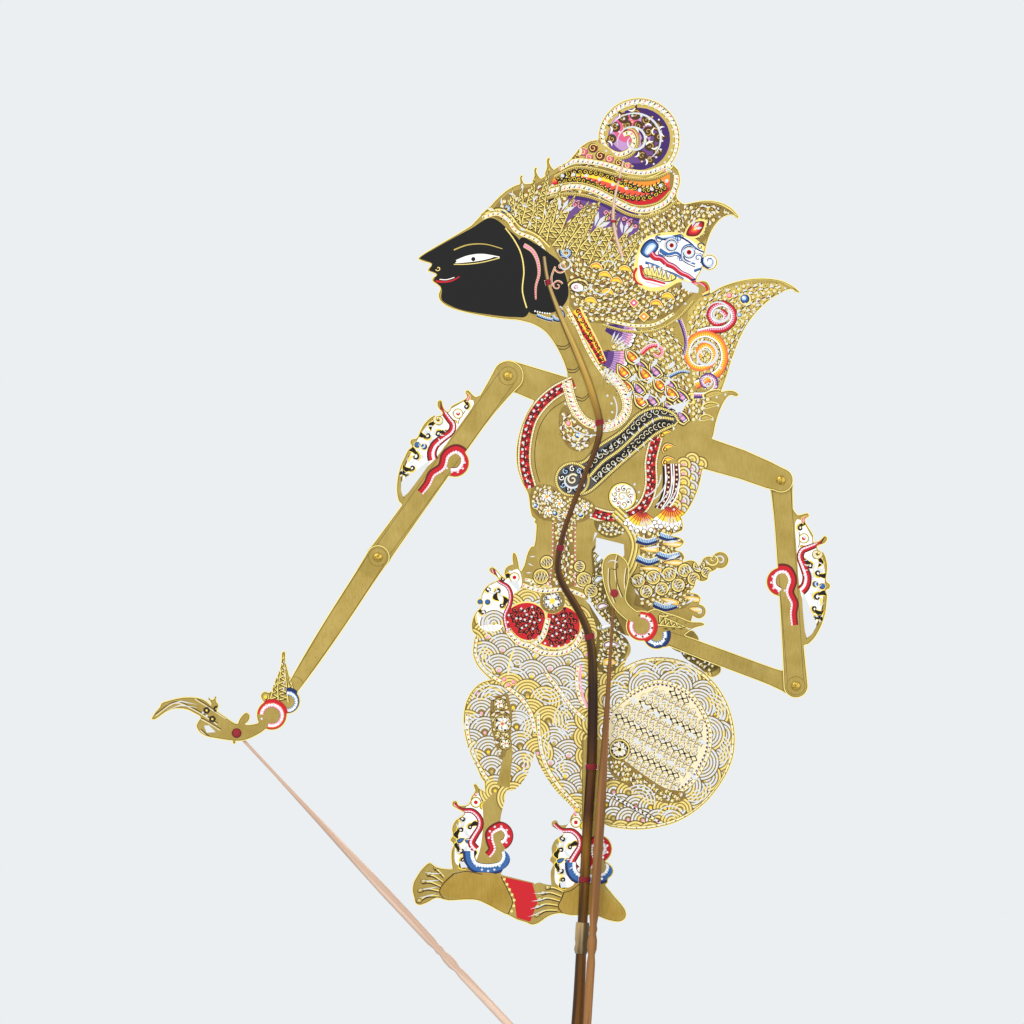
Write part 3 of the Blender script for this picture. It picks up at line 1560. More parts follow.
    def ribbon(self) -> None:
        """Flame-coloured ribbon of curls between cords and pearls."""
        c = self.c
        upper = spline([
            (-12.4, 692.5), (1.9, 698.6), (16, 697.6), (30, 693.9), (44.1, 690.6), (58.2, 691.1), (69, 696)
        ])
        lower = spline([
            (-14, 687.5), (1.9, 690.5), (16, 687.6), (30, 681), (42.2, 675.2), (50.7, 674.2), (61, 677), (69, 684.6)
        ])
        c.fill(P.RED, upper + lower[::-1])
        mid = spline([
            (-13.5, 689.2), (1.9, 692.6), (16, 690.2), (30, 684.2), (43, 678.8), (52, 678), (61, 681), (69, 687)
        ])
        c.fill(P.SCARLET, upper + mid[::-1])
        high = spline([
            (-13, 690.4), (1.9, 695), (16, 693.4), (30, 688.6), (43, 684.2), (54, 684), (62, 686.6), (69, 691)
        ])
        c.fill(P.ORANGE, upper + high[::-1])
        c.curve(P.YELLOW, [
            (-8, 692.4), (4, 695.4), (20, 692.8), (34, 688.4), (46, 685.6), (56, 686), (65, 690)
        ], 2.2, 3.0)
        for i, (p, heading, t) in enumerate(spaced(spline([
            (-10, 690.8), (1.9, 694.6), (16, 692.6), (30, 687.2), (43, 682.6), (55, 682), (66, 688)
        ]), 3.7)):
            for s in (-1, 1):
                q = polar(p, s * (1.7 + 3.0 * math.sin(math.pi * t) ** 2), heading + 90)
                c.disc(P.BLACK, q, 2.1)
                c.line(P.YELLOW, coil(q, 1.7, 0.3, 60 * i, 60 * i + s * 400), 0.45, 0.35)
                c.drop(P.UMBER, polar(q, 1.9, heading + 20), polar(q, 4.2, heading + 70), 1.5, 0.2)
                c.disc(P.CREAM, polar(q, 2.6, heading + 50), 0.4)
        c.cord([(-11.8, 693.6), (1.9, 700), (16, 699.2), (30, 695.6), (44, 692.6), (58, 692.8), (70, 697.6)], 1.6)
        c.cord([
            (-14.6, 686.4), (1.9, 689.6), (16, 686.8), (30, 680), (42.2, 674.2), (50.9, 673.2), (61.6, 676), (70, 684)
        ], 1.0)
        c.pearls([
            (-15.4, 683.4), (1.9, 687), (16, 684.2), (30, 677.2), (42.2, 671.4), (53.5, 670.5), (66, 675.6),
            (72.6, 685.2), (74, 695)
        ], 3.0)

    def fields(self) -> None:
        """Violet fields of the crown, with the cord above them."""
        c = self.c
        for tri in (
            [(-2, 681.5), (19, 677.5), (7, 671), (-4, 661)], [(21, 676.5), (30, 671.6), (30.6, 660), (13.5, 655)],
            [(31, 671.6), (48, 664.4), (47, 656), (33, 647)]
        ):
            c.fill(P.VIOLET, tri)
            c.line(P.PURPLE, [tri[0], tri[1]], 4.6)
            for k in range(4):
                w = (0.1 + 0.2 * k, 0.16 + 0.2 * k)
                q = (
                    tri[0][0] * (0.6 - w[0] / 2) + tri[2][0] * (0.4 + w[0] / 2) + (k % 2) * 3 - 1,
                    tri[0][1] * (0.6 - w[1] / 2) + tri[2][1] * (0.4 + w[1] / 2)
                )
                c.disc(P.UMBER, q, 2.0)
                c.line(P.PINK, coil(q, 1.9, 0.4, 50 * k, 50 * k + 400), 0.6)
                c.disc(P.ROSE, q, 0.6)
        c.fill(P.BLACK, spline([(-16, 679), (-8, 682.6), (0, 683)]) + spline([(0, 681), (-8, 680), (-16, 675.6)]))
        c.cord([
            (-17.6, 678.4), (-5.6, 681.6), (9.4, 680.6), (25.4, 675.2), (39.4, 667.8), (51.6, 665.9), (66, 670.6),
            (76, 679)
        ], 1.8)

    def spires(self) -> None:
        """Two rows of zigzag spires and the bands along the brow."""
        c = self.c
        for a, b, w in (
            ((-42, 668), (-41, 684), 5.5), ((-36, 664), (-34.5, 688), 6.5), ((-31, 660), (-25, 696), 7.5),
            ((-25, 656), (-15, 700), 8.5), ((-19, 653), (-6, 690), 8),
            ((-14, 650), (3, 681), 8.5), ((-6, 648), (12, 676), 8), ((2, 646), (20, 676), 8),
            ((9, 641), (28, 670), 8), ((17, 637), (34, 665), 8), ((25, 634), (43, 660), 8), ((34, 634), (50, 655), 7),
            ((-38, 661), (-37, 674), 5), ((-28, 656), (-23, 676), 6), ((-20, 650), (-13, 670), 6),
            ((-10, 644), (0, 662), 6.5), ((0, 640), (11, 658), 6.5), ((10, 635), (21, 652), 6.5),
            ((20, 630), (31, 647), 6.5)
        ):
            c.zigzag(a, b, w)
        c.comb(P.NIGHT, P.SKY, coil((-45, 672), 3.4, 0.8, 200, 520), 2.6, 1.2)
        c.comb(P.NIGHT, P.SKY, coil((-3, 641), 4.4, 1.0, 160, 500), 3.0, 1.4)
        c.pearls([
            (-62, 665), (-52, 668), (-44, 663.5), (-38, 655.5), (-24.3, 649.4), (-17.8, 640.2)
        ], 2.0, inks=(P.OLIVE, P.RED, P.OLIVE))
        c.curve(P.BRIGHT, [(-60, 668), (-50, 671), (-42, 666.4), (-36, 659), (-24, 653), (-15, 644.6)], 0.9)
        c.curve(P.UMBER, [(-60, 669.4), (-50, 672.4), (-42, 668), (-36, 660.6), (-24, 654.6), (-15, 646)], 0.5)
        c.cord([(76, 675), (84, 672.4), (94, 671)], 1.3)

    def back_leaf(self) -> None:
        """Pointed leaf behind the crown."""
        c = self.c
        leaf = spline([
            (76, 674), (90, 675.5), (100, 675.6), (109, 672), (114, 667.6), (106, 666), (99, 659.5), (94.5, 650),
            (88, 648), (80, 660)
        ], closed=True)
        c.fill(P.LIGHT, leaf)
        c.lace(leaf, 3.9)
        c.curve(P.BRIGHT, [(74, 675.4), (90, 676.4), (102, 675.6), (112, 670.6), (116.4, 666)], 0.9)
        c.dots(P.BLACK, spline([(80, 673.5), (92, 674.2), (102, 673.2), (109, 669.6)]), 2.0, 0.4)
        c.curve(P.BRIGHT, [(113, 667.2), (106, 664.4), (100.5, 658), (96.5, 649)], 0.9)

    def beast(self) -> None:
        """Ornament head that looks out behind the crown."""
        c = self.c
        c.shape(P.BRIGHT, [
            (46, 640), (51, 650), (60, 654), (74, 655), (86, 651), (96, 643), (103, 637), (101, 629), (94, 625),
            (88, 618), (76, 620), (66, 615), (54, 614), (45, 621), (44, 630)
        ])
        c.shape(P.WHITE, [
            (48, 640), (53, 649.6), (62, 652.4), (74, 653), (84, 649.4), (93, 641.6), (101, 637.6), (99.6, 630),
            (92, 626), (86, 620), (76, 623), (66, 618), (55, 616.6), (47.4, 622), (47, 631)
        ])
        for i, ink in enumerate((P.NIGHT, P.BLUE, P.SKY, P.WHITE)):
            c.shape(ink, [
                (48.4 + i * 1.5, 641), (51.4 + i * 1.1, 647.6 - i), (57, 650.4 - i * 1.5), (61.5 - i, 645.5),
                (58.4 - i, 640 + i * 0.6), (53.4, 637 + i)
            ])
        c.curve(P.NIGHT, [(60, 651.6), (66, 650), (74, 652.4), (82, 648.6), (88, 643.4), (93, 641)], 1.8, 1.0)
        c.curve(P.BLUE, [(62, 643), (68, 639.6), (74, 640.6), (80, 635.6), (87, 632.6)], 2.4, 1.2)
        c.curve(P.NIGHT, [(62, 641.4), (68, 637.8), (74, 638.6), (80, 633.8), (87, 630.6)], 0.7)
        c.curve(P.SKY, [(64, 651), (70, 651.8), (76, 650.6)], 0.8)
        red = spline([
            (56, 640.6), (58.6, 637.4), (63, 636.6), (67, 633), (72, 630.8), (77, 626.6), (82, 624.4), (88, 619.6)
        ])
        c.line(P.NIGHT, red, 4.8, 3.0)
        c.line(P.RED, red, 3.8, 2.2)
        c.line(P.PINK, shifted(red, 0.7), 0.8)
        for o, r, a in (
            ((62, 650), 2.6, 120), ((76, 650.6), 2.2, 60), ((89, 637), 2.8, 330), ((64, 640.6), 2.2, 200),
            ((77, 636), 2.0, 20)
        ):
            c.line(P.BLUE, coil(o, r, 0.5, a, a + 380), 1.1, 0.6)
            c.line(P.NIGHT, arc(o, r + 0.7, a - 40, a + 150), 0.7, 0.4)
        for way in (
            [(52, 634), (58, 632.4), (64, 630)], [(86, 628), (92, 630), (97, 629)],
            [(66, 628), (73, 625.6), (79, 622.4)]
        ):
            c.curve(P.BLUE, way, 1.6, 0.8)
            c.line(P.NIGHT, shifted(spline(way), -0.9), 0.5)

    def jaws(self) -> None:
        """Jaws, teeth and eyes of the ornament head."""
        c = self.c
        jaw = spline([(49, 629), (52, 624), (60, 622), (68, 620), (74, 623.4), (66, 628.4), (58, 631)], closed=True)
        c.fill(P.UMBER, jaw)
        c.fill(P.BRIGHT, drawn_in(jaw, (61, 626), 0.93, 0.88))
        for k in range(6):
            c.line(P.UMBER, [(53 + 3.4 * k, 628.4 - 0.7 * k), (53.6 + 3.4 * k, 623.6 - 0.6 * k)], 0.4)
        for p, r in (((70.4, 645.8), 4.0), ((82.6, 641), 4.3)):
            c.line(P.BLUE, arc(p, r + 1.0, 20, 200), 1.1)
            c.discs(p, (P.NIGHT, r + 0.2), (P.WHITE, r - 0.6))
            c.line(P.SKY, arc(p, r - 1.2, 0, 360), 0.8)
            c.discs(p, (P.RED, r * 0.42), (P.BLACK, r * 0.22))
        for k in range(5):
            x, z = 54 + 3.2 * k, 633.4 - 1.5 * k
            c.fill(P.NIGHT, [(x - 0.4, z), (x + 3.0, z - 1.2), (x + 1.1, z - 6)])
            c.fill(P.WHITE, [(x + 0.3, z - 0.3), (x + 2.5, z - 1.2), (x + 1.2, z - 4.6)])
        c.curve(P.UMBER, [(50, 631), (52, 625.4), (58, 624), (66, 621.6)], 0.6)
        c.curve(P.RED, [(48.6, 632), (50.6, 623.6), (57, 621.6), (66, 619)], 2.2, 1.4)
        c.curve(P.PINK, [(52, 620.4), (58, 619), (65, 617)], 0.9)
        c.curve(P.RED, [(46, 630), (44, 625), (46, 620), (50, 618)], 1.8, 1.0)

    def flame(self) -> None:
        """Flame above the ornament head, and the curls behind it."""
        c = self.c
        knots = [(79, 652), (83, 661), (90, 664), (95, 663), (93, 656), (88, 651)]
        for i, ink in enumerate((P.BRIGHT, P.WINE, P.RED, P.SCARLET, P.YELLOW)):
            k = 1 - 0.2 * i
            c.shape(ink, drawn_in(knots, (87, 657.6), k, k))
        c.line(P.NIGHT, coil((96.6, 634.6), 5.2, 0.8, 150, 540), 2.2, 1.0)
        c.line(P.SKY, coil((96.6, 634.6), 4.0, 0.8, 150, 520), 0.8)
        c.line(P.NIGHT, coil((90.6, 645), 2.9, 0.5, 10, 400), 1.0, 0.5)
        c.curve(P.NIGHT, [(84, 621.6), (91, 622), (97, 618.4), (97.4, 612.4), (93, 610.6)], 1.4, 0.8)
        c.curve(P.RED, [(84, 619), (90, 619.6), (94.8, 617), (95, 613.4), (92, 612.4)], 2.4, 1.2)
        c.curve(P.PINK, [(86, 619.2), (90, 619.4), (93.6, 617)], 0.7)

    def wing(self) -> None:
        """Large curved wing at the back."""
        c = self.c
        c.curve(P.BRIGHT, [
            (92, 611.5), (103, 616.5), (115, 620), (126, 622), (137, 622.4), (147, 620.8), (156, 616.4)
        ], 1.3)
        c.dots(P.OLIVE, spline([(95, 610.6), (104, 614.6), (116, 617.8), (128, 619.6), (140, 619.4)]), 1.9, 0.45)
        c.curve(P.BRIGHT, [
            (154, 615), (140, 607.6), (131, 599.6), (124, 590.6), (119, 581.6), (113.6, 567), (108, 551)
        ], 1.6)
        c.dots(P.OLIVE, spline([
            (146, 612.6), (133, 603.6), (122.6, 592.6), (115.6, 580), (109.6, 563), (105, 551)
        ]), 1.9, 0.45)
        self.swirl([
            (89, 584.5), (97, 586.6), (107, 587.4), (113.4, 593), (113, 600.4), (106.6, 605), (99.6, 602.6),
            (97, 596.6), (100.6, 591.6), (106, 592.6), (108, 597), (104.6, 599.8)
        ], 5.0, 2.4, REDS)
        self.swirl([
            (87, 548), (95, 552), (104, 558), (107.4, 568), (104, 578.6), (95, 583.6), (85.6, 580.4), (81.4, 571),
            (84.6, 562.6), (92, 560.4), (98.6, 564.6), (99.4, 571.6), (94.6, 575.6), (90, 572.4), (92, 568)
        ], 5.4, 2.4, (P.SCARLET, P.ORANGE, P.YELLOW))
        self.swirl([
            (86, 541), (94, 541.4), (100.4, 545.6), (101, 551.6), (96, 555), (91.4, 551.6), (93.4, 547.4),
            (96.6, 549.4)
        ], 3.8, 1.8, (P.PURPLE, P.VIOLET, P.PINK))
        c.gem((122, 608), 4.0)
        c.gem((111, 610.6), 2.4, RUBY)
        c.gem((118, 597), 2.2, (P.BRIGHT, P.NIGHT, P.SKY))
        c.comb(P.PURPLE, P.MAUVE, spline([(76, 594), (79, 586), (80.6, 577), (79, 569)]), 3.0, 2.0)
        c.comb(P.NIGHT, P.SKY, spline([(64, 551), (70, 554.6), (77, 557.6), (83, 557)]), 3.0, 1.8)
        c.line(P.BRIGHT, coil((84, 537.8), 4.4, 0.6, 60, 520), 1.1, 0.6)
        c.disc(P.BLACK, (84, 537.8), 0.7)
        for a, b in (((92, 540), (110, 543.4)), ((92, 532.4), (104, 534.6)), ((90, 524.6), (100, 525))):
            c.petal((P.BRIGHT, P.OLIVE, P.LIGHT), a, b, 4.4, 0.08)

    def swirl(self, knots: Sequence[Pt], w0: float, w1: float, inks: Sequence[Paint]) -> None:
        """Curling crest of a wing: dark rim, strong back, pale toothed inside.

        Args:
            knots: Points that the path passes through.
            w0: Width at the start.
            w1: Width at the end.
            inks: Dark, strong and pale paint.
        """
        c, way = self.c, spline(knots)
        c.line(P.UMBER, way, w0 + 0.8, w1 + 0.6)
        c.line(P.WHITE, way, w0, w1)
        c.line(inks[2], shifted(way, -w0 * 0.06), w0 * 0.62, w1 * 0.62)
        for p, heading, t in spaced(way, 1.5):
            w = w0 + (w1 - w0) * t
            c.line(inks[0], [polar(p, w * 0.4, heading - 90), polar(p, w * 0.3, heading + 90)], 0.5, 0.35)
        c.line(inks[1], shifted(way, -w0 * 0.27), w0 * 0.46, w1 * 0.4)
        c.line(inks[0], shifted(way, -w0 * 0.42), w0 * 0.16, w1 * 0.2)

    def feathers(self) -> None:
        """Feather drops and fans that fall behind the neck."""
        c = self.c
        for o, a0, a1, r in (((18, 590), -34, 2, 27), ((10, 571), -34, 2, 29)):
            c.fan(o, 7, r, a0, a1, (P.PURPLE, P.PURPLE, P.VIOLET, P.MAUVE, P.PINK), 9, P.PURPLE)
            for k in range(5):
                a = a0 + (a1 - a0) * (k + 0.5) / 5
                for ink, back, spot in ((P.UMBER, 0, 2.2), (P.WHITE, 0.4, 1.7), (P.MAUVE, 1.2, 0.9)):
                    c.disc(ink, polar(o, r - back, a), spot)
        c.comb(P.RED, P.PINK, spline([
            (49, 570), (54, 574.6), (60, 576), (64, 572), (61.6, 568), (57.6, 570)
        ]), 3.4, 1.4)
        pinks = [
            (48.7, 562), (58.5, 558.3), (46.7, 546), (56.4, 537.8), (68.7, 549.1), (77, 540.9), (68.2, 532.7),
            (77, 526.5)
        ]
        golds = [(42, 568.6), (51.3, 556.3), (61.5, 549.1), (69.7, 542.9), (48.2, 537.8), (38, 548), (36, 558)]
        for spots, inks, rib in (
            (pinks, (P.UMBER, P.BRIGHT, P.PURPLE, P.MAUVE, P.PINK), P.PURPLE),
            (golds, (P.UMBER, P.BRIGHT, P.SCARLET, P.ORANGE, P.YELLOW), P.WINE)
        ):
            for p in spots:
                a, b = (p[0] + 4.4, p[1] - 5.4), (p[0] - 4.2, p[1] + 5.6)
                c.petal((P.UMBER, P.BRIGHT, P.UMBER, P.WHITE), a, b, 9.8, 0.05)
                heart = (p[0] + 0.8, p[1] - 1.0)
                c.petal(inks[2:], (p[0] + 2.6, p[1] - 3.2), (p[0] - 2.0, p[1] + 2.8), 4.6, 0.05)
                for k in range(5):
                    a = 128 + 34 * (k - 2)
                    c.line(rib, [polar(heart, 0.6, a), polar(heart, 2.9 - 0.25 * abs(k - 2), a)], 0.4, 0.25)

    def earpiece(self) -> None:
        """Strip along the neck, with the flames, jewels and cords around the ear."""
        c = self.c
        strip = spline([(2, 600), (9, 588), (15.6, 577), (22, 564)])
        c.line(P.BRIGHT, strip, 11.6, 6)
        c.dots((P.CREAM, P.UMBER), shifted(strip, -4.8), 1.3, 0.55)
        c.line(P.RED, strip, 8.4, 4)
        c.line(P.ORANGE, shifted(strip, 1.0), 5.4, 2.4)
        c.line(P.YELLOW, shifted(strip, 0.6), 2.0, 1.0)
        for i, (p, heading, t) in enumerate(spaced(strip, 3.6)):
            for s in (-1, 1):
                q = polar(p, s * (2.2 - 1.2 * t), heading + 90)
                c.line(P.BLACK, coil(q, 1.9 - 0.6 * t, 0.3, 90 * i, 90 * i + s * 400), 1.0, 0.6)
                c.drop(P.RED, polar(q, 1.6, heading), polar(q, 3.4, heading + 30), 1.0)
        flames = (
            ((18, 630), P.SCARLET), ((32, 620), P.SCARLET), ((38, 628), P.ORANGE), ((26, 612), P.ORANGE),
            ((60, 604), P.SCARLET), ((14, 606), P.ORANGE), ((68, 609), P.ORANGE), ((24, 624), P.ORANGE)
        )
        for (x, z), ink in flames:
            c.petal((P.UMBER, P.BRIGHT, ink, P.YELLOW), (x - 5, z + 1.6), (x + 5.4, z - 1.4), 4.8, 0.2)
        for ink, rx, ry in ((P.UMBER, 5.0, 3.6), (P.WHITE, 4.3, 2.9)):
            c.oval(ink, (4.4, 616.4), rx, ry, -10)
        c.disc(P.ROSE, (3.4, 616.6), 1.7)
        c.disc(P.BLACK, (3.2, 616.6), 0.9)
        for k, ink in enumerate((P.UMBER, P.BRIGHT, P.UMBER)):
            c.line(ink, arc((5, 614), 6.6 + 1.3 * k, 30, 160), 0.7)
        for p, ink in (((44, 605.6), P.ROSE), ((51, 596), P.ORANGE)):
            for paint, r in ((P.UMBER, 4.6), (P.BRIGHT, 4.0), (ink, 3.0)):
                c.fill(paint, [polar(p, r, 90 * i) for i in range(4)])
            c.disc(P.WHITE, p, 0.9)
        c.cord([(22, 590), (40, 585.6), (58, 586), (74, 594), (86, 607)], 1.5)
        c.pearls([(24, 594), (42, 590), (58, 590.4), (72, 598)], 1.5, inks=(P.OLIVE, P.UMBER))
        c.pearls([(-3, 603), (4, 589.4), (10, 576), (16, 565), (23, 555)], 1.5, inks=(P.UMBER, P.ROSE))

    def hair(self) -> None:
        """Hair with curls at the temple and the nape."""
        c = self.c
        c.shape(P.BLACK, [
            (-36, 650), (-24, 646.5), (-15, 640), (-8, 634), (-3, 622), (-2, 610), (-8, 601), (-18, 598), (-30, 600),
            (-34, 622)
        ])
        for p, r, a in (((-7, 630.6), 4.4, 200), ((-9.6, 617.6), 3.8, 20)):
            c.line(P.CREAM, coil(p, r, 0.5, a, a + 440), 1.3, 0.7)
            c.line(P.RED, coil(p, r - 0.2, 0.5, a, a + 440), 0.6, 0.35)
        for ink, wide in ((P.CREAM, 1.2), (P.RED, 0.5)):
            c.curve(ink, [(-11, 631), (-13.6, 624), (-13, 617)], wide)
        lock = spline([(-33, 646), (-27, 642), (-23.4, 635), (-22.4, 626), (-24.6, 617), (-24.6, 608)])
        c.line(P.LIGHT, lock, 3.4, 1.2)
        c.line(P.PINK, lock, 2.4, 0.7)
        c.ticks(P.RED, lock, 1.7, 1.6, 0.4, 60)
        c.comb(P.NIGHT, P.SKY, coil((-8.4, 597.6), 5.0, 1.2, 190, 520), 3.0, 1.4)
        c.comb(P.NIGHT, P.SKY, spline([(-24, 597), (-18, 594.6), (-13, 593.4)]), 2.4, 2.6)
        c.dots(P.WHITE, spline([(-26, 600), (-20, 598.6), (-14, 598)]), 1.8, 0.6)

    def face(self) -> None:
        """Plain dark face with a calm eye, a brow and closed lips."""
        c = self.c
        c.shape(P.BLACK, [
            (-56, 665), (-70, 657.6), (-84, 650), (-97, 642.6), (-106, 637.2), (-98, 633.4), (-99, 628.4),
            (-93.6, 625.4), (-96, 621.4), (-90.6, 615.6), (-90.6, 608), (-84, 603.4), (-74, 600), (-58, 597.4),
            (-40, 595.6), (-30, 598), (-26, 620), (-34, 646), (-44, 657)
        ])
        c.curve(P.WHITE, [(-80, 634.4), (-72, 637.8), (-62, 639.2), (-50, 637.6)], 2.4, 0.6)
        c.shape(P.WHITE, [(-81, 633.6), (-73, 637.4), (-62, 639), (-54, 637.8), (-62, 635.4), (-72, 634)])
        c.disc(P.BLACK, (-68.4, 636.2), 1.5)
        c.curve(P.BRIGHT, [(-82, 632.6), (-73, 632.6), (-62, 634), (-50, 637)], 0.6)
        c.curve(P.LIGHT, [(-82, 642.6), (-72, 646.2), (-60, 646.6), (-48, 643.4)], 1.0, 0.5)
        c.curve(P.RED, [(-94.6, 620.8), (-89, 620.2), (-83, 621.2), (-78, 624)], 1.5, 0.7)
        c.curve(P.WHITE, [(-92, 622), (-87, 621.8), (-81.6, 623.4)], 0.6)
        c.line(P.BRIGHT, coil((-93, 629.6), 1.9, 0.5, 200, 520), 0.6)
        c.curve(P.BRIGHT, [(-46, 658), (-40, 650), (-35, 640), (-33, 628), (-34, 614), (-31, 602)], 0.9)


@dataclass
class TorsoPainter:
    """Paints the neck, chest, waist and hips."""

    c: Canvas

    def paint(self) -> None:
        """Lay on all the motifs of the trunk."""
        self.chest()
        self.pendant()
        self.flank()
        self.sash()
        self.waist()
        self.tassels()
        self.hip_scroll()
        self.hips()

    def garland(self, knots: Sequence[Pt], w: float) -> None:
        """Thick flower rope of red and black scrolls between pearl edges.

        Args:
            knots: Points that the path passes through.
            w: Width.
        """
        c = self.c
        way = spline(knots)
        c.line(P.UMBER, way, w + 3.4)
        c.line(P.LIGHT, way, w + 2.8)
        for s in (-1, 1):
            c.dots((P.CREAM, P.WHITE), shifted(way, s * (w / 2 + 0.75)), 1.3, 0.52)
        c.line(P.WINE, way, w)
        for i, (p, heading, _) in enumerate(spaced(way, 3.0)):
            side = 1 if i % 2 else -1
            q = polar(p, side * w * 0.2, heading + 90)
            c.disc(P.RED, polar(p, -side * w * 0.26, heading + 90), w * 0.24)
            c.disc(P.BLACK, q, w * 0.29)
            c.line(P.RED, coil(q, w * 0.27, 0.3, 70 * i, 70 * i + 380), 0.5)
            c.drop(
                P.CREAM, polar(p, side * w * 0.12, heading - 90), polar(p, w * 0.42, heading - side * 50), 0.75,
                0.25 * side
            )

    def tab(self, p: Pt, r: float, heading: float) -> None:
        """Rounded gold scale with a zigzag line across.

        Args:
            p: Middle of the scale.
            r: Radius.
            heading: Direction, in degrees.
        """
        c = self.c
        c.discs(p, (P.UMBER, r + 0.7), (P.BRIGHT, r), (P.LIGHT, r - 0.8))
        steps = [
            polar(polar(p, (i - 4.5) * r * 0.2, heading), r * (0.2 + 0.1 * min(i, 9 - i)) * (-1) ** i, heading + 90)
            for i in range(10)
        ]
        for ink, k in ((P.CREAM, 0.5), (P.UMBER, 0.0)):
            for a, b in zip(steps, steps[1:]):
                c.line(ink, [polar(a, k, heading), polar(b, k, heading)], 0.5)

    def chest(self) -> None:
        """Creases of the neck, a flower rope and the collar."""
        c = self.c
        for a, b in (((-11.6, 576), (2, 581)), ((-5, 560), (8, 564)), ((1.6, 541), (13, 543))):
            for d in (0, 2.0):
                c.curve(P.UMBER, [
                    (a[0], a[1] - d), ((a[0] + b[0]) / 2 + 1, (a[1] + b[1]) / 2 - 3.2 - d), (b[0], b[1] - d)
                ], 0.75, 0.5)
        self.garland([(2, 550), (-10, 544), (-20, 535.6), (-28, 524), (-32, 508), (-32.4, 492), (-28.6, 476)], 6.4)
        c.curve(P.UMBER, [(-3, 538), (-14, 530.6), (-21.4, 520), (-25, 506), (-25, 492), (-22, 480)], 0.5)
        collar = [
            (-3, 551), (0, 538), (4.6, 528), (12, 521), (25, 518.6), (35, 524), (39.4, 533), (36, 545), (28, 555)
        ]
        c.curve(P.UMBER, collar, 7.8)
        c.curve(P.LIGHT, collar, 7.2)
        c.pearls(collar, 4.0, inks=(P.PURPLE, P.ROSE, P.BLACK, P.ROSE))
        for s in (-1, 1):
            c.dots((P.CREAM, P.WHITE), shifted(spline(collar), 3.0 * s), 1.4, 0.5)

    def pendant(self) -> None:
        """Lace pendant below the collar and the white rosette beside it."""
        c = self.c
        drop = spline([
            (-4, 534), (1, 527), (10, 519), (17, 516), (15, 507), (8, 502), (0, 503), (-6, 510), (-8.6, 520),
            (-8, 529)
        ], closed=True)
        c.fill(P.UMBER, drop)
        c.fill(P.LIGHT, drawn_in(drop, (3, 516), 0.93, 0.93))
        c.lace(drop, 3.6, (P.RED, P.BLACK, P.YELLOW, P.ROSE))
        c.gem((5, 512.6), 2.6)
        c.gem((-1.6, 521), 2.2, RUBY)
        o = (36, 470)
        for ink, r in ((P.UMBER, 10), (P.BRIGHT, 9.4), (P.WHITE, 8.4)):
            c.fill(ink, arc(o, r, 0, 360))
        for k in range(9):
            q = polar(o, 5.6, 40 * k)
            c.line(P.OLIVE, coil(q, 2.2, 0.4, 40 * k, 40 * k + 400), 0.7, 0.5)
            c.disc((P.RED, P.YELLOW, P.BLACK)[k % 3], q, 0.6)
        c.line(P.LIGHT, coil(o, 3.6, 0.5, 0, 480), 1.0, 0.7)
        c.dots(P.YELLOW, arc(o, 8.9, 0, 360), 1.6, 0.5)

    def flank(self) -> None:
        """Scales and stripes of the side below the arm, and the flower rope around it."""
        c = self.c
        rim = spline([
            (66, 454), (73, 461), (78, 470), (80, 482), (80, 494), (92, 494), (92, 482), (89, 470), (81, 458),
            (73, 450)
        ], closed=True)
        c.fill(P.UMBER, rim)
        c.scales(rim, 5.6, (84, 470), 30)
        for ink, wide, far in (
            (P.BLACK, 1.6, 0), (P.WHITE, 0.9, 1.3), (P.WINE, 3.2, 3.4), (P.WHITE, 0.9, 5.5), (P.BLACK, 0.7, 6.3),
            (P.WHITE, 0.8, 7.1), (P.WINE, 3.0, 9.0), (P.WHITE, 0.9, 10.9)
        ):
            way = spline([
                (59 + far * 0.8, 462 - far * 0.1), (63.4 + far * 0.95, 470), (65 + far, 481), (64.6 + far, 493)
            ])
            c.line(ink, way, wide)
            if ink is P.WINE:
                c.dots((P.BLACK, P.CREAM), way, 1.7, 0.7)
        self.garland([(13, 459.5), (27, 455.6), (41, 456.6), (51, 464), (56, 477.6), (56, 495), (60, 512)], 6.2)
        for p in ((64, 513), (66, 503), (66, 494)):
            c.petal((P.UMBER, P.BRIGHT, P.RED, P.YELLOW), (p[0] - 2.4, p[1] - 1.6), (p[0] + 7, p[1] + 2.6), 5, 0.22)
            c.discs(p, (P.BLACK, 1.4), (P.YELLOW, 0.8))
        c.lace(arc((28, 453), 12, 180, 360), 3.0, focus=(28, 455), ground=P.OLIVE)

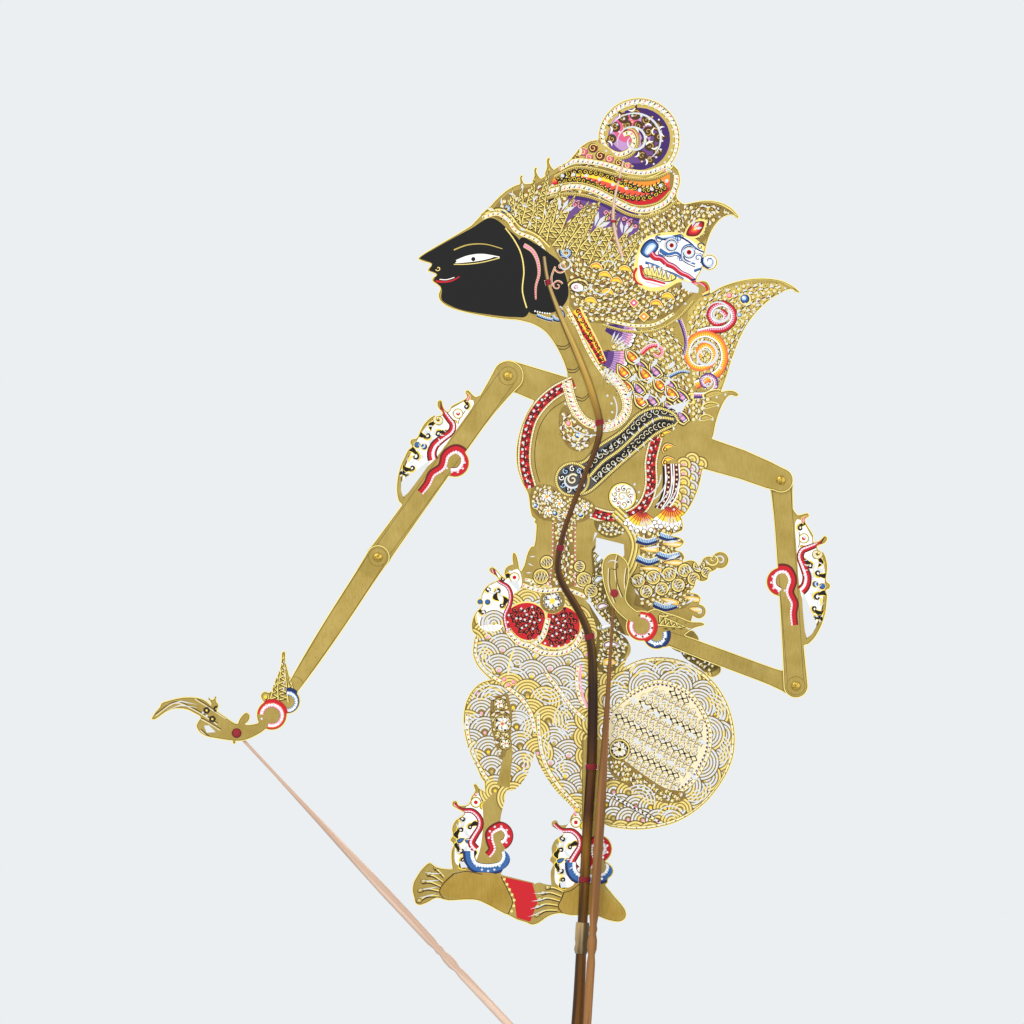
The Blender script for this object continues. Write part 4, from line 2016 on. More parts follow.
    def sash(self) -> None:
        """Dark sash across the chest that ends in a curl."""
        c = self.c
        lower = spline([(6, 471.6), (14, 474.6), (31, 489.8), (51, 507), (60.5, 514.6), (72, 520)])
        upper = spline([
            (2, 492.6), (10, 495), (19, 504.6), (35, 515.4), (47.4, 527.6), (59.5, 532), (71, 528.6), (75, 523)
        ])
        for ink, more in ((P.UMBER, 1.7), (P.BRIGHT, 1.2)):
            c.fill(ink, shifted(upper, more) + shifted(lower, -more)[::-1])
        c.fill(P.GREY, upper + lower[::-1])
        c.discs((1, 482), (P.UMBER, 12.6), (P.LIGHT, 12.2), (P.GREY, 10.6))
        mid = spline([(13, 484), (22, 494), (35, 503.6), (51, 518.6), (62, 525), (72, 524)])
        for i, (p, heading, _) in enumerate(spaced(mid, 4.4)):
            for s in (-1, 1):
                q = polar(p, s * 4.6, heading + 90)
                c.disc(P.BLACK, q, 3.1)
                c.line(P.CREAM, coil(q, 2.4, 0.4, 90 * s + 30 * i, 90 * s + 30 * i + s * 400), 0.5, 0.4)
                c.drop(
                    P.SKY if i % 2 else P.WHITE, polar(q, 2.6, heading + 10 * s), polar(q, 4.6, heading + s * 40),
                    1.1, 0.2
                )
        for k in range(9):
            q = polar((1, 482), 7.4, 40 * k + 10)
            c.disc(P.BLACK, q, 2.4)
            c.line((P.WHITE, P.SKY)[k % 2], coil(q, 2.1, 0.4, 40 * k, 40 * k + 400), 0.7, 0.5)
        c.line(P.CREAM, coil((1, 482), 4.0, 0.6, 40, 500), 1.3, 0.8)
        for way, w in ((upper, 1.5), (lower, 1.5), (mid, 1.7), (arc((1, 482), 11.4, 20, 330), 1.5)):
            c.line(P.UMBER, way, w + 0.7)
            c.line(P.BRIGHT, way, w)
            c.ticks(P.UMBER, way, 1.25, w, 0.35)

    def waist(self) -> None:
        """Bare gilded waist with straps and flower lace."""
        c = self.c
        lane = spline([
            (-12, 456), (-12.4, 440), (-13, 424), (-15, 408), (3, 408), (2.6, 424), (2, 440), (4, 456)
        ], closed=True)
        c.fill(P.UMBER, lane)
        c.fill(P.LIGHT, drawn_in(lane, (-5, 0), 0.92, 1))
        c.lace(lane, 3.7, (P.RED, P.BLACK, P.ROSE, P.YELLOW), focus=(-60, 430))
        for way in ([(-12.6, 452), (-13, 430), (-15, 408)], [(3, 452), (2.8, 430), (3, 408)]):
            c.dots((P.CREAM, P.ROSE), spline(way), 1.6, 0.6)
        cluster = spline([
            (-29, 466), (-26, 477), (-14, 478), (-4, 471), (8, 470), (17, 463), (10, 453), (-6, 452), (-22, 455)
        ], closed=True)
        c.lace(cluster, 3.2, (P.RED, P.YELLOW, P.BLACK, P.CREAM))
        for p, r in (
            ((-17, 470), 4.4), ((-8, 465), 4.0), ((-16, 460), 3.8), ((2, 462), 4.0), ((10, 463), 3.4),
            ((-4, 457), 3.2)
        ):
            c.blossom(p, r, 7, (P.UMBER, P.CREAM, P.WHITE, P.ORANGE), 15)
        for p in ((-24.6, 463.6), (-11, 458), (7, 457)):
            c.gem(p, 2.3)
        strap = spline([(31, 460), (41, 449.6), (46, 437), (43, 423), (38, 414)])
        c.line(P.UMBER, strap, 9.6, 7)
        c.line(P.LIGHT, strap, 8.8, 6.4)
        for k in (-2.6, 0, 2.6):
            c.line(P.BRIGHT, shifted(strap, k), 1.0)
            c.line(P.UMBER, shifted(strap, k + 1.0), 0.45)

    def tassels(self) -> None:
        """Fans, combs, leaves and round scales behind the hip."""
        c = self.c
        c.lace([
            (48, 446), (62, 452), (78, 452), (80, 440), (78, 424), (92, 404), (80, 392), (60, 388), (44, 394),
            (48, 420)
        ], 4.0, focus=(40, 440))
        fans = (((50, 461), 15, -150, -40), ((70, 465), 17, -140, -35))
        for o, r, a0, a1 in fans:
            c.fan(o, 2.5, r, a0, a1, (P.SCARLET, P.ORANGE, P.YELLOW, P.WHITE), 9, P.WINE)
        for o, r, a0, a1 in fans:
            for k in range(6):
                c.discs(polar(o, r + 0.4, a0 + (a1 - a0) * (k + 0.5) / 6), (P.UMBER, 1.9), (P.WHITE, 1.4))
        for way in (
            [(46, 440), (53, 438), (60, 440)], [(62, 443), (69, 441), (77, 443)],
            [(60, 430), (68, 427.6), (76, 429.6)], [(46, 427), (54, 424), (61, 426)],
            [(58, 395), (66, 392), (74, 394)]
        ):
            c.comb(P.NIGHT, P.SKY, spline(way), 5.0, 4.0)
        for a, b in (
            ((47, 434), (62, 432.4)), ((63, 437), (80, 436)), ((64, 424), (80, 423.4)), ((47, 420.4), (64, 418.4)),
            ((62, 399), (76, 395)), ((78, 400), (92, 397)), ((82, 392), (92, 390))
        ):
            c.petal((P.UMBER, P.BRIGHT, P.ORANGE, P.YELLOW, P.CREAM), b, a, 4.4)
        for i, (x, z, r) in enumerate((
            (47, 411, 4.6), (52.6, 403.6, 4.4), (57.6, 413.4, 4.8), (63.6, 405.4, 4.6), (68.6, 415.6, 4.8),
            (75, 408, 4.6), (79.6, 418.4, 4.6), (86, 412.4, 4.4), (89.6, 421.4, 4.2), (95, 417, 3.8)
        )):
            self.tab((x, z), r, 35 + 90 * (i % 2))
        for ink, w0, w1 in ((P.UMBER, 1.9, 1.1), (P.BRIGHT, 1.2, 0.7)):
            c.line(ink, coil((99.6, 426), 4.6, 0.8, 200, 640), w0, w1)

    def hip_scroll(self) -> None:
        """White serpent scroll before the hip."""
        c = self.c
        c.shape(P.WHITE, [
            (-54, 418), (-46, 416), (-37, 419), (-34.6, 408), (-41, 400), (-45, 384), (-52, 376), (-63, 378),
            (-66, 388), (-65, 399), (-60, 409)
        ])
        c.scale((-54, 381), 9.6, -10, 190, None)
        for root, tip, wide in (
            ((-56, 408), (-52, 412), 3), ((-48, 400), (-51, 405), 3), ((-62, 402), (-59, 405), 2.4)
        ):
            c.drop(P.PIERCED, root, tip, wide, 0.15)
        for x, z, r, a, hand in (
            (-57.6, 405.4, 2.5, 120, 1), (-50.8, 403.6, 2.3, 220, -1), (-61.4, 389.6, 2.3, 170, 1),
            (-48.4, 394, 2.1, 30, -1), (-47.4, 412, 1.9, 60, 1), (-56.4, 412.6, 1.8, 150, -1)
        ):
            c.comma((x, z), r, a, hand)
        for p in ((-63.4, 396), (-58.2, 396)):
            c.gem(p, 2.4, SAPPHIRE)
        c.discs((-39.6, 413.4), (P.UMBER, 3.6), (P.BRIGHT, 3.2), (P.WHITE, 2.6), (P.RED, 1.4))
        c.snake([
            (-54.8, 419), (-51, 411.4), (-44.4, 407), (-42, 401), (-43, 394), (-46, 386), (-44, 376)
        ], 1.8, 3.4, REDS, -1)

    def hips(self) -> None:
        """Lace panels and leaves that hang from the waist, with round scales above them."""
        c = self.c
        c.lace(spline([
            (15, 434), (27, 438), (25, 418), (25, 400), (33, 384), (40, 366), (34, 352), (24, 346), (17, 356),
            (18, 376), (12, 398), (15, 416)
        ], closed=True), 3.5, (P.CREAM, P.BLACK, P.YELLOW), focus=(60, 400), ground=P.OLIVE)
        for a, b, inks in (
            ((17, 424), (25, 430), (P.NIGHT, P.SKY, P.WHITE)), ((16, 410), (24, 414), (P.NIGHT, P.SKY, P.WHITE)),
            ((18, 392), (27, 394), (P.PURPLE, P.MAUVE, P.WHITE)), ((20, 378), (31, 380), (P.NIGHT, P.SKY, P.WHITE)),
            ((22, 366), (35, 366), (P.PURPLE, P.MAUVE, P.WHITE)),
            ((22, 354), (33, 353), (P.ORANGE, P.YELLOW, P.CREAM))
        ):
            c.petal((P.UMBER, P.BRIGHT, *inks), a, b, 6.0, 0.1)
        c.lace(spline([
            (72, 370), (88, 364), (101, 358), (103, 350), (95, 347), (84, 353), (72, 362)
        ], closed=True), 3.6, (P.CREAM, P.BLACK), ground=P.OLIVE)
        for i, (x, z, r) in enumerate((
            (-21, 414, 5.2), (-17, 424, 4.4), (9, 412, 5.0), (14, 404, 4.6), (6, 421, 3.8)
        )):
            self.tab((x, z), r, 20 * i)


@dataclass
class ClothPainter:
    """Paints the wave-scaled cloths, the pouches and the jewels on them."""

    c: Canvas

    def paint(self) -> None:
        """Lay on all the motifs of the cloths."""
        self.waves()
        self.rear_cloth()
        self.rear_hem()
        self.jewels()
        self.pouches()

    def waves(self) -> None:
        """See-through wave scales of the front cloths."""
        c = self.c
        front = spline([
            (-56, 375), (-64, 371.6), (-66.4, 366), (-66.6, 359), (-64, 353), (-59, 347.6), (-53, 342.8), (-44, 338),
            (-32, 329), (-24, 310), (-23.2, 292), (-20, 283), (-14, 273), (-8, 265), (-2, 259), (7, 251), (12, 262),
            (14, 290), (14, 330), (12, 352), (8, 372), (2, 390), (-16, 402), (-38, 398), (-50, 388)
        ], closed=True)
        c.scales(front, 12.0, (-30, 330), 80)
        thigh = spline([
            (-48, 339.6), (-58, 339.4), (-64, 336.6), (-69, 331), (-72.6, 323), (-73.6, 313), (-72.3, 302),
            (-68.8, 291), (-64, 281), (-60.6, 274), (-52, 269), (-43, 266.4), (-39, 268), (-35, 273), (-30.6, 281),
            (-27.8, 291), (-26, 304), (-25, 321), (-31, 336)
        ], closed=True)
        c.scales(thigh, 11.5, (-48, 300), 100)
        c.fill(P.GOLD, [(-52, 268), (-47, 290), (-46, 304), (-42, 304), (-41, 290), (-43, 266)])

    def rear_cloth(self) -> None:
        """Large round cloth behind, with a patterned field inside a wave border."""
        c = self.c
        ring = spline([
            (30, 343), (38, 349), (46, 352.8), (56, 355.2), (67, 355.3), (77.6, 352.8), (88, 347.8), (97.4, 340.2),
            (104.8, 330.4), (110, 318.4), (112.7, 304.8), (112.2, 291.4), (108.6, 280), (102.4, 268.8), (94.2, 258.6),
            (84.6, 250.4), (73.4, 244.2), (60.6, 240.4), (48, 238.9), (35.4, 239.6), (26, 242.6), (20, 260), (20, 320)
        ], closed=True)
        patch = spline([
            (28, 318), (40, 329), (52, 336), (62, 338.5), (75, 335), (84, 328.4), (91, 319), (95, 308), (95, 295),
            (91, 284), (83.4, 272), (73, 264), (58, 262), (44, 270), (30, 280), (26, 300)
        ], closed=True)
        c.fill(P.AGED, ring)
        for away, r, step in ((15, 9.5, 13.5), (8, 11, 15.5), (0, 13, 21.5)):
            for p, _, _ in spaced(shifted(patch, away), step):
                out = math.degrees(math.atan2(p[1] - 298, p[0] - 61))
                c.scale(p, r, out - 112, out + 112, ring, heart=P.YELLOW)
        c.fill(P.AGED, patch)
        c.fill(P.CREAM, drawn_in(patch, (62, 300), 0.985, 0.985))
        self.weave(patch)
        c.dots((P.PURPLE, P.WHITE), patch, 1.5, 0.6)
        c.pearls([
            (28, 320), (40, 331), (52, 338), (62, 340.5), (75, 337), (85, 330), (92, 320), (97, 308), (97, 295),
            (93, 283), (85, 270), (74, 262)
        ], 1.5, inks=(P.PURPLE, P.BLACK))

    def weave(self, ring: Path) -> None:
        """Rows of small scrolls, with a chain of lozenges in every fourth row.

        Args:
            ring: Rim of the shape that they fill.
        """
        c = self.c
        for row in range(-9, 10):
            chain = []
            for k in range(-24, 25, 2):
                u, v = k * 2.5 + (row % 2) * 1.25, row * 4.1
                p = (62 + u * 0.87 + v * 0.49, 300 - u * 0.49 + v * 0.87)
                if not all(inside(polar(p, 2.6, 60 * i), ring) for i in range(6)):
                    continue
                if row % 4 == 0:
                    chain.append(p)
                    continue
                c.line(P.AGED, coil(p, 2.2, 0.5, 30 + 180 * (row % 2), 400 + 180 * (row % 2)), 0.6, 0.45)
                c.line(P.OLIVE, arc(polar(p, 2.1, -120), 1.7, -60, 150), 0.5)
                c.line(P.LIGHT, arc(p, 2.5, 60, 200), 0.5)
                c.drop(P.PIERCED, polar(p, 1.3, 200), polar(p, 1.4, 330), 1.2, -0.3)
                c.fill(P.PIERCED, arc(p, 1.6, 10, 150, 0.9) + arc(p, 0.8, 150, 10, 0.9))
            for p, q in zip(chain, chain[1:]):
                mid = polar(p, 2.5, -29.4)
                c.fill(P.CREAM, [p, polar(mid, 1.9, 60), q, polar(mid, 1.9, -120)])
                for side in (60, -120):
                    c.line(P.BLACK, [p, polar(mid, 2.0, side), q], 0.75)
                    c.drop(P.OLIVE, polar(mid, 2.0, side), polar(mid, 3.6, side + 20), 1.2)
                c.disc(P.BLACK, p, 0.9)

    def rear_hem(self) -> None:
        """Scaled hem, lace corner, rosette and pearl rim of the round cloth."""
        c = self.c
        hem = spline([
            (22, 272), (30, 268), (44, 262), (60, 254), (76, 250), (70, 244.6), (60, 241.6), (46, 240), (34, 241),
            (25, 244.4), (20, 256)
        ], closed=True)
        c.scales(hem, 9.0, (40, 244), 118)
        for side in (-1, 1):
            c.line(P.UMBER, shifted([(30, 260), (66, 240)], side * 1.5), 0.5)
        c.dots((P.BLACK, P.WHITE), [(30, 260), (66, 240)], 1.6, 0.7)
        corner = spline([
            (27, 288), (36, 286), (50, 276), (66, 266), (80, 263), (76, 256), (60, 257), (44, 265), (28, 276)
        ], closed=True)
        c.lace(corner, 3.6)
        c.discs((34, 293), (P.UMBER, 7.6), (P.BRIGHT, 7.0), (P.AGED, 6.2))
        c.blossom((34, 293), 6.0, 6, (P.UMBER, P.WHITE, P.CREAM, P.BLACK), 10)
        c.dots(P.BLACK, arc((34, 293), 5.4, 40, 400), 5.6, 0.9)
        c.pearls([
            (24, 240), (36, 238.6), (50, 238.4), (62, 240), (75, 244), (86, 250), (95, 258), (104, 269), (110, 281),
            (113, 293), (113.4, 305), (110.6, 319), (105.2, 331), (98, 340.4), (88, 348.2), (77.6, 353.4),
            (67, 355.8), (56, 355.8), (46, 353.4), (38, 349.6)
        ], 1.0, inks=(P.OLIVE, P.BRIGHT))

    def jewels(self) -> None:
        """Rosettes, hems and hanging strands."""
        c = self.c
        for way in (
            [(-18, 347), (-8, 334), (1, 322), (10, 314)], [(5, 352), (4, 340), (6, 330), (10, 322)],
            [(-23, 318), (-22, 300), (-18.4, 284), (-11, 270.6), (-3, 261), (6, 252)],
            [(-46, 337), (-36, 330), (-28, 318), (-25, 304)], [(-66, 372), (-67, 360), (-60, 348), (-48, 340)],
            [(-73, 318), (-72, 302), (-66, 284), (-58, 271)]
        ):
            c.pearls(way, 1.7, inks=(P.PURPLE, P.ROSE, P.BLACK))
        c.curve(P.PINK, [(7, 352), (6.4, 340), (8.4, 330), (12, 322)], 1.6)
        c.lace([
            (-56, 330), (-44, 332), (-41, 318), (-42, 304), (-46, 288), (-50, 286), (-55, 304), (-57, 318)
        ], 3.6, (P.RED, P.YELLOW, P.BLACK, P.PURPLE))
        for p, r in (((-48, 311), 5.6), ((-50, 325), 3.6), ((-46, 297), 3.6)):
            c.discs(p, (P.UMBER, r + 0.9), (P.LIGHT, r + 0.4))
            c.blossom(p, r, 6, (P.UMBER, P.CREAM, P.WHITE, P.ROSE), 10)
            c.dots(P.BLACK, arc(p, r * 0.86, 40, 400), r, 0.16 * r)
        c.curve(P.BRIGHT, [(-40, 363), (-43, 354), (-44, 345)], 1.4)
        for p in ((-46.5, 342), (-40, 340), (-43.6, 338)):
            c.gem(p, 1.9, RUBY)

    def pouches(self) -> None:
        """Red pouches with black scrolls between white crescents."""
        c = self.c
        for ring, mid in (
            (spline([
                (-45, 390), (-44, 379), (-36, 370), (-25, 369), (-18, 378), (-18, 390), (-26, 396), (-36, 396)
            ], closed=True), (-31, 383)),
            (spline([
                (-16, 392), (-18, 378), (-24, 368), (-12, 363), (0, 367), (7, 376), (5, 388), (-4, 394)
            ], closed=True), (-8, 379))
        ):
            c.fill(P.BRIGHT, ring)
            inner = drawn_in(ring, mid, 0.92, 0.92)
            c.fill(P.RED, inner)
            for row in range(-3, 4):
                for k in range(-4, 5):
                    q = (mid[0] + k * 4.2 + 2.1 * (row % 2), mid[1] + row * 3.8)
                    if all(inside(polar(q, 1.9, 90 * i), inner) for i in range(4)):
                        c.disc(P.BLACK, q, 1.95)
                        c.line(P.SCARLET, coil(q, 1.7, 0.3, 60 * k + 40 * row, 60 * k + 40 * row + 380), 0.5, 0.4)
                        c.drop(P.BLACK, polar(q, 1.5, 40 * k), polar(q, 3.4, 40 * k + 40), 1.4, 0.2)
        c.pearls([
            (-47, 393), (-46, 380), (-38, 369), (-28, 366), (-20, 372), (-16, 385)
        ], 3.0, inks=(P.PURPLE, P.BLACK, P.ROSE))
        c.pearls([(-30, 366), (-20, 361), (-8, 360.4), (2, 365), (9, 377)], 3.0, inks=(P.PURPLE, P.BLACK, P.ROSE))
        c.discs((-13, 397), (P.BRIGHT, 9.0), (P.WHITE, 8.0))
        c.lace(arc((-13, 397), 8.8, 0, 360), 2.7, (P.CREAM, P.YELLOW))
        c.blossom((-13, 397), 6.8, 6, (P.UMBER, P.CREAM, P.WHITE, P.YELLOW), 30)
        c.dots(P.NIGHT, arc((-13, 397), 5.0, 0, 360), 5.2, 0.9)
        c.pearls([(-34, 408), (-20, 404), (-4, 405), (10, 400)], 2.4)
        c.pearls([(-32, 412), (-18, 409), (-4, 410), (11, 406)], 1.8, inks=(P.RED, P.OLIVE))


@dataclass
class LegPainter:
    """Paints the legs, anklets and feet."""

    c: Canvas

    def paint(self) -> None:
        """Lay on all the motifs of the legs."""
        c = self.c
        c.fill(P.GOLD, [(8, 300), (24, 300), (23, 236), (22, 214), (8, 214), (7.4, 250)])
        c.line(P.OLIVE, [(8.4, 300), (7.8, 250), (8, 226)], 0.6)
        for dx, dz in ((0, 0), (70, -14)):
            self.serpent(dx, dz)
        self.anklet((-50.5, 232.4), 10.3, (-58, 216), 15.4, 9.4)
        self.anklet((19, 223.4), 10.0, (14, 208), 16.0, 8.6)
        c.fill(P.RED, [(-48, 204), (-27, 199.4), (-23.4, 186), (-28.6, 172.4), (-38, 175.2), (-40, 190)])
        c.curve(P.UMBER, [(-49, 204), (-44, 194), (-41, 186), (-44, 178)], 0.7)
        c.dots(P.BRIGHT, spline([(-47.6, 204), (-42.6, 194), (-39.6, 186), (-42.4, 178)]), 4.2, 1.0)
        c.shape(P.OCHRE, [
            (-92, 193), (-89, 202), (-79, 206), (-64, 207), (-51, 205), (-45, 194), (-42, 186), (-45, 180),
            (-57, 183), (-70, 188), (-82, 189)
        ])
        c.shape(P.OCHRE, [
            (-14, 184), (-11, 190), (-5, 194), (6, 200), (17, 199), (27, 190), (37, 179), (35, 173), (20, 173),
            (4, 176), (-8, 178)
        ])
        self.foot((-111, 194), (-94, 211), (-60, 208))
        self.foot((-28, 184), (-17, 198), (10, 203))

    def serpent(self, dx: float, dz: float) -> None:
        """Ornament serpent in front of an ankle.

        Args:
            dx: Shift to the right.
            dz: Shift upwards.
        """
        c = self.c

        def at(*pts: Pt) -> Path:
            """Points moved to the leg."""
            return [(x + dx, z + dz) for x, z in pts]

        c.shape(P.WHITE, at(
            (-66, 262), (-62.4, 256), (-61.6, 240), (-64, 222), (-70, 211), (-80, 212.6), (-81.4, 222), (-79.4, 235),
            (-77.4, 246), (-71, 256)
        ))
        for root, tip, wide in (
            ((-76, 239), (-72, 246), 3.4), ((-71, 232), (-74, 238), 2.6), ((-74, 219), (-72, 226), 3.4),
            ((-77, 215), (-73, 213), 2.4)
        ):
            c.drop(P.PIERCED, *at(root, tip), wide, 0.15)
        for x, z, r, a, hand in (
            (-75.6, 244.6, 2.4, 120, 1), (-77.0, 236.4, 2.2, 200, -1), (-70.4, 238.6, 1.9, 60, 1),
            (-76.8, 222.4, 2.5, 150, 1), (-75.4, 215.6, 2.0, 230, -1), (-69.4, 217.4, 1.7, 40, -1)
        ):
            c.comma(*at((x, z)), r, a, hand)
        for a, b in (((-80, 228), (-74, 231)), ((-74, 228), (-70, 231))):
            c.petal(SAPPHIRE, *at(a, b), 4.4)
        c.discs(*at((-66.6, 256)), (P.UMBER, 3.8), (P.BRIGHT, 3.3), (P.WHITE, 2.7), (P.RED, 1.4))
        c.petal(AMBER, *at((-63, 251), (-60.6, 257)), 2.6, 0.2)
        c.petal(RUBY, *at((-66.4, 260), (-67.2, 268.2)), 3.0, 0.2)
        c.snake(at(
            (-81.6, 255), (-76.4, 250.6), (-69, 250), (-64, 245), (-63.6, 239), (-67, 233), (-69.6, 227.6),
            (-66.4, 223)
        ), 2.2, 5.4, REDS, -1)

    def anklet(self, ring: Pt, r: float, base: Pt, rx: float, ry: float) -> None:
        """Red coil over a blue coil, both set with beads.

        Args:
            ring: Middle of the red coil.
            r: Radius of the red coil.
            base: Middle of the blue coil.
            rx: Level radius.
            ry: Upright radius of an oval.
        """
        c, (x, z) = self.c, base
        c.snake([
            (x - rx + 1.8, z + 6), (x - rx + 2.4, z), (x - rx * 0.6, z - ry * 0.55), (x, z - ry + 2.6),
            (x + rx * 0.62, z - ry * 0.5), (x + rx - 2.2, z + 1), (x + rx - 2.6, z + 6)
        ], 7.6, 6.6, BLUES, 1)
        x, z = ring
        c.snake([
            (x + 3, z - r * 0.62), (x + r * 0.62, z - 3.6), (x + r * 0.7, z + 2.4), (x + 2, z + r * 0.72),
            (x - r * 0.6, z + 3.4), (x - r * 0.66, z - 3), (x - r * 0.5, z - 9), (x - r * 0.8, z - 13)
        ], 7.4, 3.6, REDS, 1)

    def foot(self, toe: Pt, top: Pt, heel: Pt) -> None:
        """Lines of a foot: toes with nails, and the rim of the plain instep.

        Args:
            toe: Tip of the toes.
            top: Highest point.
            heel: Back of the heel.
        """
        c = self.c
        for k in range(5):
            t = k / 4
            tip = (
                toe[0] + 1.6 + (top[0] - toe[0]) * (0.12 + 0.7 * t * t),
                toe[1] - 7.6 + (top[1] - toe[1]) * 1.45 * t * (1.25 - 0.3 * t)
            )
            end = (toe[0] + 18.4 + 4 * t, toe[1] - 3.4 + 13 * t)
            way = spline([tip, ((tip[0] + end[0]) / 2 - 1, (tip[1] + end[1]) / 2 + 1.8), end])
            c.line(P.UMBER, shifted(way, -0.9), 1.3, 0.7)
            c.line(P.BRIGHT, way, 1.1, 0.6)
            c.oval(P.UMBER, (tip[0] + 1.2, tip[1] + 0.7), 2.3, 1.6, 20)
            c.oval(P.LIGHT, (tip[0] + 1.2, tip[1] + 0.9), 1.8, 1.2, 20)
            c.disc(P.CREAM, (tip[0] + 0.9, tip[1] + 1.1), 0.5)
        rim = spline([
            (top[0] + 12, top[1] - 5), (toe[0] + 21.6, toe[1] + 5), (toe[0] + 19, toe[1] - 1),
            (toe[0] + 23, toe[1] - 6.4)
        ])
        c.line(P.UMBER, rim, 0.9, 0.6)
        c.curve(P.UMBER, [
            (top[0] + 12, top[1] - 5), ((top[0] + heel[0]) / 2 + 4, top[1] - 3.4), (heel[0] - 2, heel[1] - 2.4)
        ], 0.6)


@dataclass
class ArmPainter:
    """Paints an upper arm in its own frame, along the arm and outwards from it."""

    root: Pt
    goal: Pt
    side: float

    def __post_init__(self) -> None:
        """Lay the canvas along the arm, from its root joint to its goal joint."""
        root, goal, side = self.root, self.goal, self.side
        self.long = gap(root, goal)
        u = ((goal[0] - root[0]) / self.long, (goal[1] - root[1]) / self.long)
        self.c = Canvas(lambda p: (
            root[0] + u[0] * p[0] - u[1] * p[1] * side, root[1] + u[1] * p[0] + u[0] * p[1] * side
        ))

    def band(self) -> None:
        """Serpent armlet on the upper arm."""
        c = self.c
        c.shape(P.WHITE, [
            (30, 8), (30, 13), (40, 18), (50, 22.6), (60, 25.6), (72, 25.4), (84, 23.4), (97, 20), (106, 14.6),
            (104, 11), (90, 10), (76, 7.6), (50, 7.4)
        ])
        for root, tip, wide in (
            ((56, 18), (52, 22), 3), ((63, 21), (70, 23.6), 3), ((66, 16), (72, 17), 2.4), ((80, 15), (86, 17.4), 3),
            ((84, 21.6), (90, 20.8), 2.4), ((94, 14), (101, 14.6), 3.4), ((44, 17), (41, 14), 2.6),
            ((80, 20), (77, 22.6), 2.6)
        ):
            c.drop(P.PIERCED, root, tip, wide, 0.15)
        for x, y, r, a, hand in (
            (55.6, 20.6, 2.7, 60, 1), (61.4, 15.8, 2.4, 200, -1), (66.6, 21.4, 2.5, 40, -1),
            (83.6, 19.8, 2.9, 140, 1), (91.4, 17.2, 2.3, 20, -1), (98.6, 16.4, 1.8, 120, 1), (34.4, 11.4, 2.2, 160, 1)
        ):
            c.comma((x, y), r, a, hand)
        c.curve(P.UMBER, [(86, 23.8), (98, 20.6), (107, 15), (112, 9.4)], 0.6)
        for p in ((76.4, 23.2), (74.6, 18.6)):
            c.gem(p, 2.7, SAPPHIRE)
        c.curve(P.OLIVE, [(48, 8.6), (44, 10), (37, 10)], 0.6)
        c.discs((41.8, 13), (P.UMBER, 3.6), (P.BRIGHT, 3.2), (P.WHITE, 2.6), (P.RED, 1.4))
        c.petal(AMBER, (46.6, 10), (51.4, 13.8), 2.6, 0.2)
        c.petal(RUBY, (31.4, 12.6), (26.2, 17), 2.8, 0.2)
        c.snake([
            (39.4, 27.4), (46, 22.6), (48.7, 16), (50.2, 11.6), (54.7, 9.6), (61.8, 11.6), (69, 13.3), (75, 11.8),
            (78.4, 8.4)
        ], 2.6, 6.8, REDS, -1)
        c.snake([
            (78.6, -7.2), (75, -11.4), (69.1, -12.2), (63.6, -9.5), (61.6, -4), (63.4, 0.8), (70.6, 3.4), (78.6, 0.9),
            (86.5, 3.6), (94.2, 2.4), (102, 2.8)
        ], 7.6, 3.4, REDS, -1)

    def plain(self, stamped: bool) -> None:
        """Edge lines of the gilded strip, with stamped dots where asked.

        Args:
            stamped: Whether dots are stamped along it.
        """
        c, n = self.c, self.long
        for s in (-1, 1):
            c.line(P.OLIVE, [(2, s * 6.4), (n * 0.5, s * 6.2), (n - 4, s * (5.6 if not stamped else 4.2))], 0.4)
        for p in ((0, 0), (n, 0)):
            c.line(P.OLIVE, arc(p, 6.4, 0, 360), 0.4)
        if stamped:
            for k in range(int(n / 5) - 4):
                c.disc(P.OLIVE, (12 + 5 * k, 1.6 * (-1) ** k), 0.3)


class HandPainter:
    """Paints the hands in the common frame."""

    @staticmethod
    def front(c: Canvas) -> None:
        """Front hand: long fingers, bangles and a leaf cuff.

        Args:
            c: Canvas to paint on.
        """
        c.zigzag((-201.6, 327), (-200.6, 359), 8.4)
        c.zigzag((-207, 328), (-205, 346), 5.4)
        c.zigzag((-195.6, 332), (-196, 344), 4.4)
        c.gem((-212.6, 330), 2.2, AMBER)
        c.beaded_ring((-197.6, 327.0), 9.8, 5.0, -120, 95, BLUES)
        c.beaded_ring((-208.6, 317.6), 11.2, 5.4, -110, 175, CORAL)
        for way in (
            [(-246, 312), (-262, 322), (-276, 327), (-290, 318)],
            [(-244, 308), (-258, 316), (-272, 320), (-284, 311)],
            [(-240, 316), (-254, 325), (-262, 331), (-252, 334)], [(-238, 300), (-250, 302), (-258, 308)]
        ):
            c.curve(P.UMBER, way, 0.6)
            c.line(P.CREAM, shifted(spline(way), 1.0), 0.5)
        for p in ((-254, 321), (-250, 315), (-247, 322)):
            c.blossom(p, 2.6, 5, (P.BLACK, P.UMBER, P.YELLOW))
        c.disc(P.WINE, (-233.1, 305.2), 3.4)

    @staticmethod
    def rear(c: Canvas) -> None:
        """Rear hand: fingers that fold inwards and bangles.

        Args:
            c: Canvas to paint on.
        """
        c.zigzag((60, 384), (82, 378), 7)
        c.zigzag((64, 389), (84, 388), 5)
        c.beaded_ring((59.6, 373.4), 9.8, 5.0, -170, 20, BLUES)
        c.beaded_ring((49, 379.4), 11.2, 5.4, -205, 95, CORAL)
        for way in (
            [(36, 400), (32, 412), (32, 426), (37, 436)], [(40, 398), (38, 410), (39, 420)],
            [(31, 396), (27, 408), (27, 420)]
        ):
            c.curve(P.UMBER, way, 0.6)
            c.line(P.CREAM, shifted(spline(way), 1.0), 0.5)


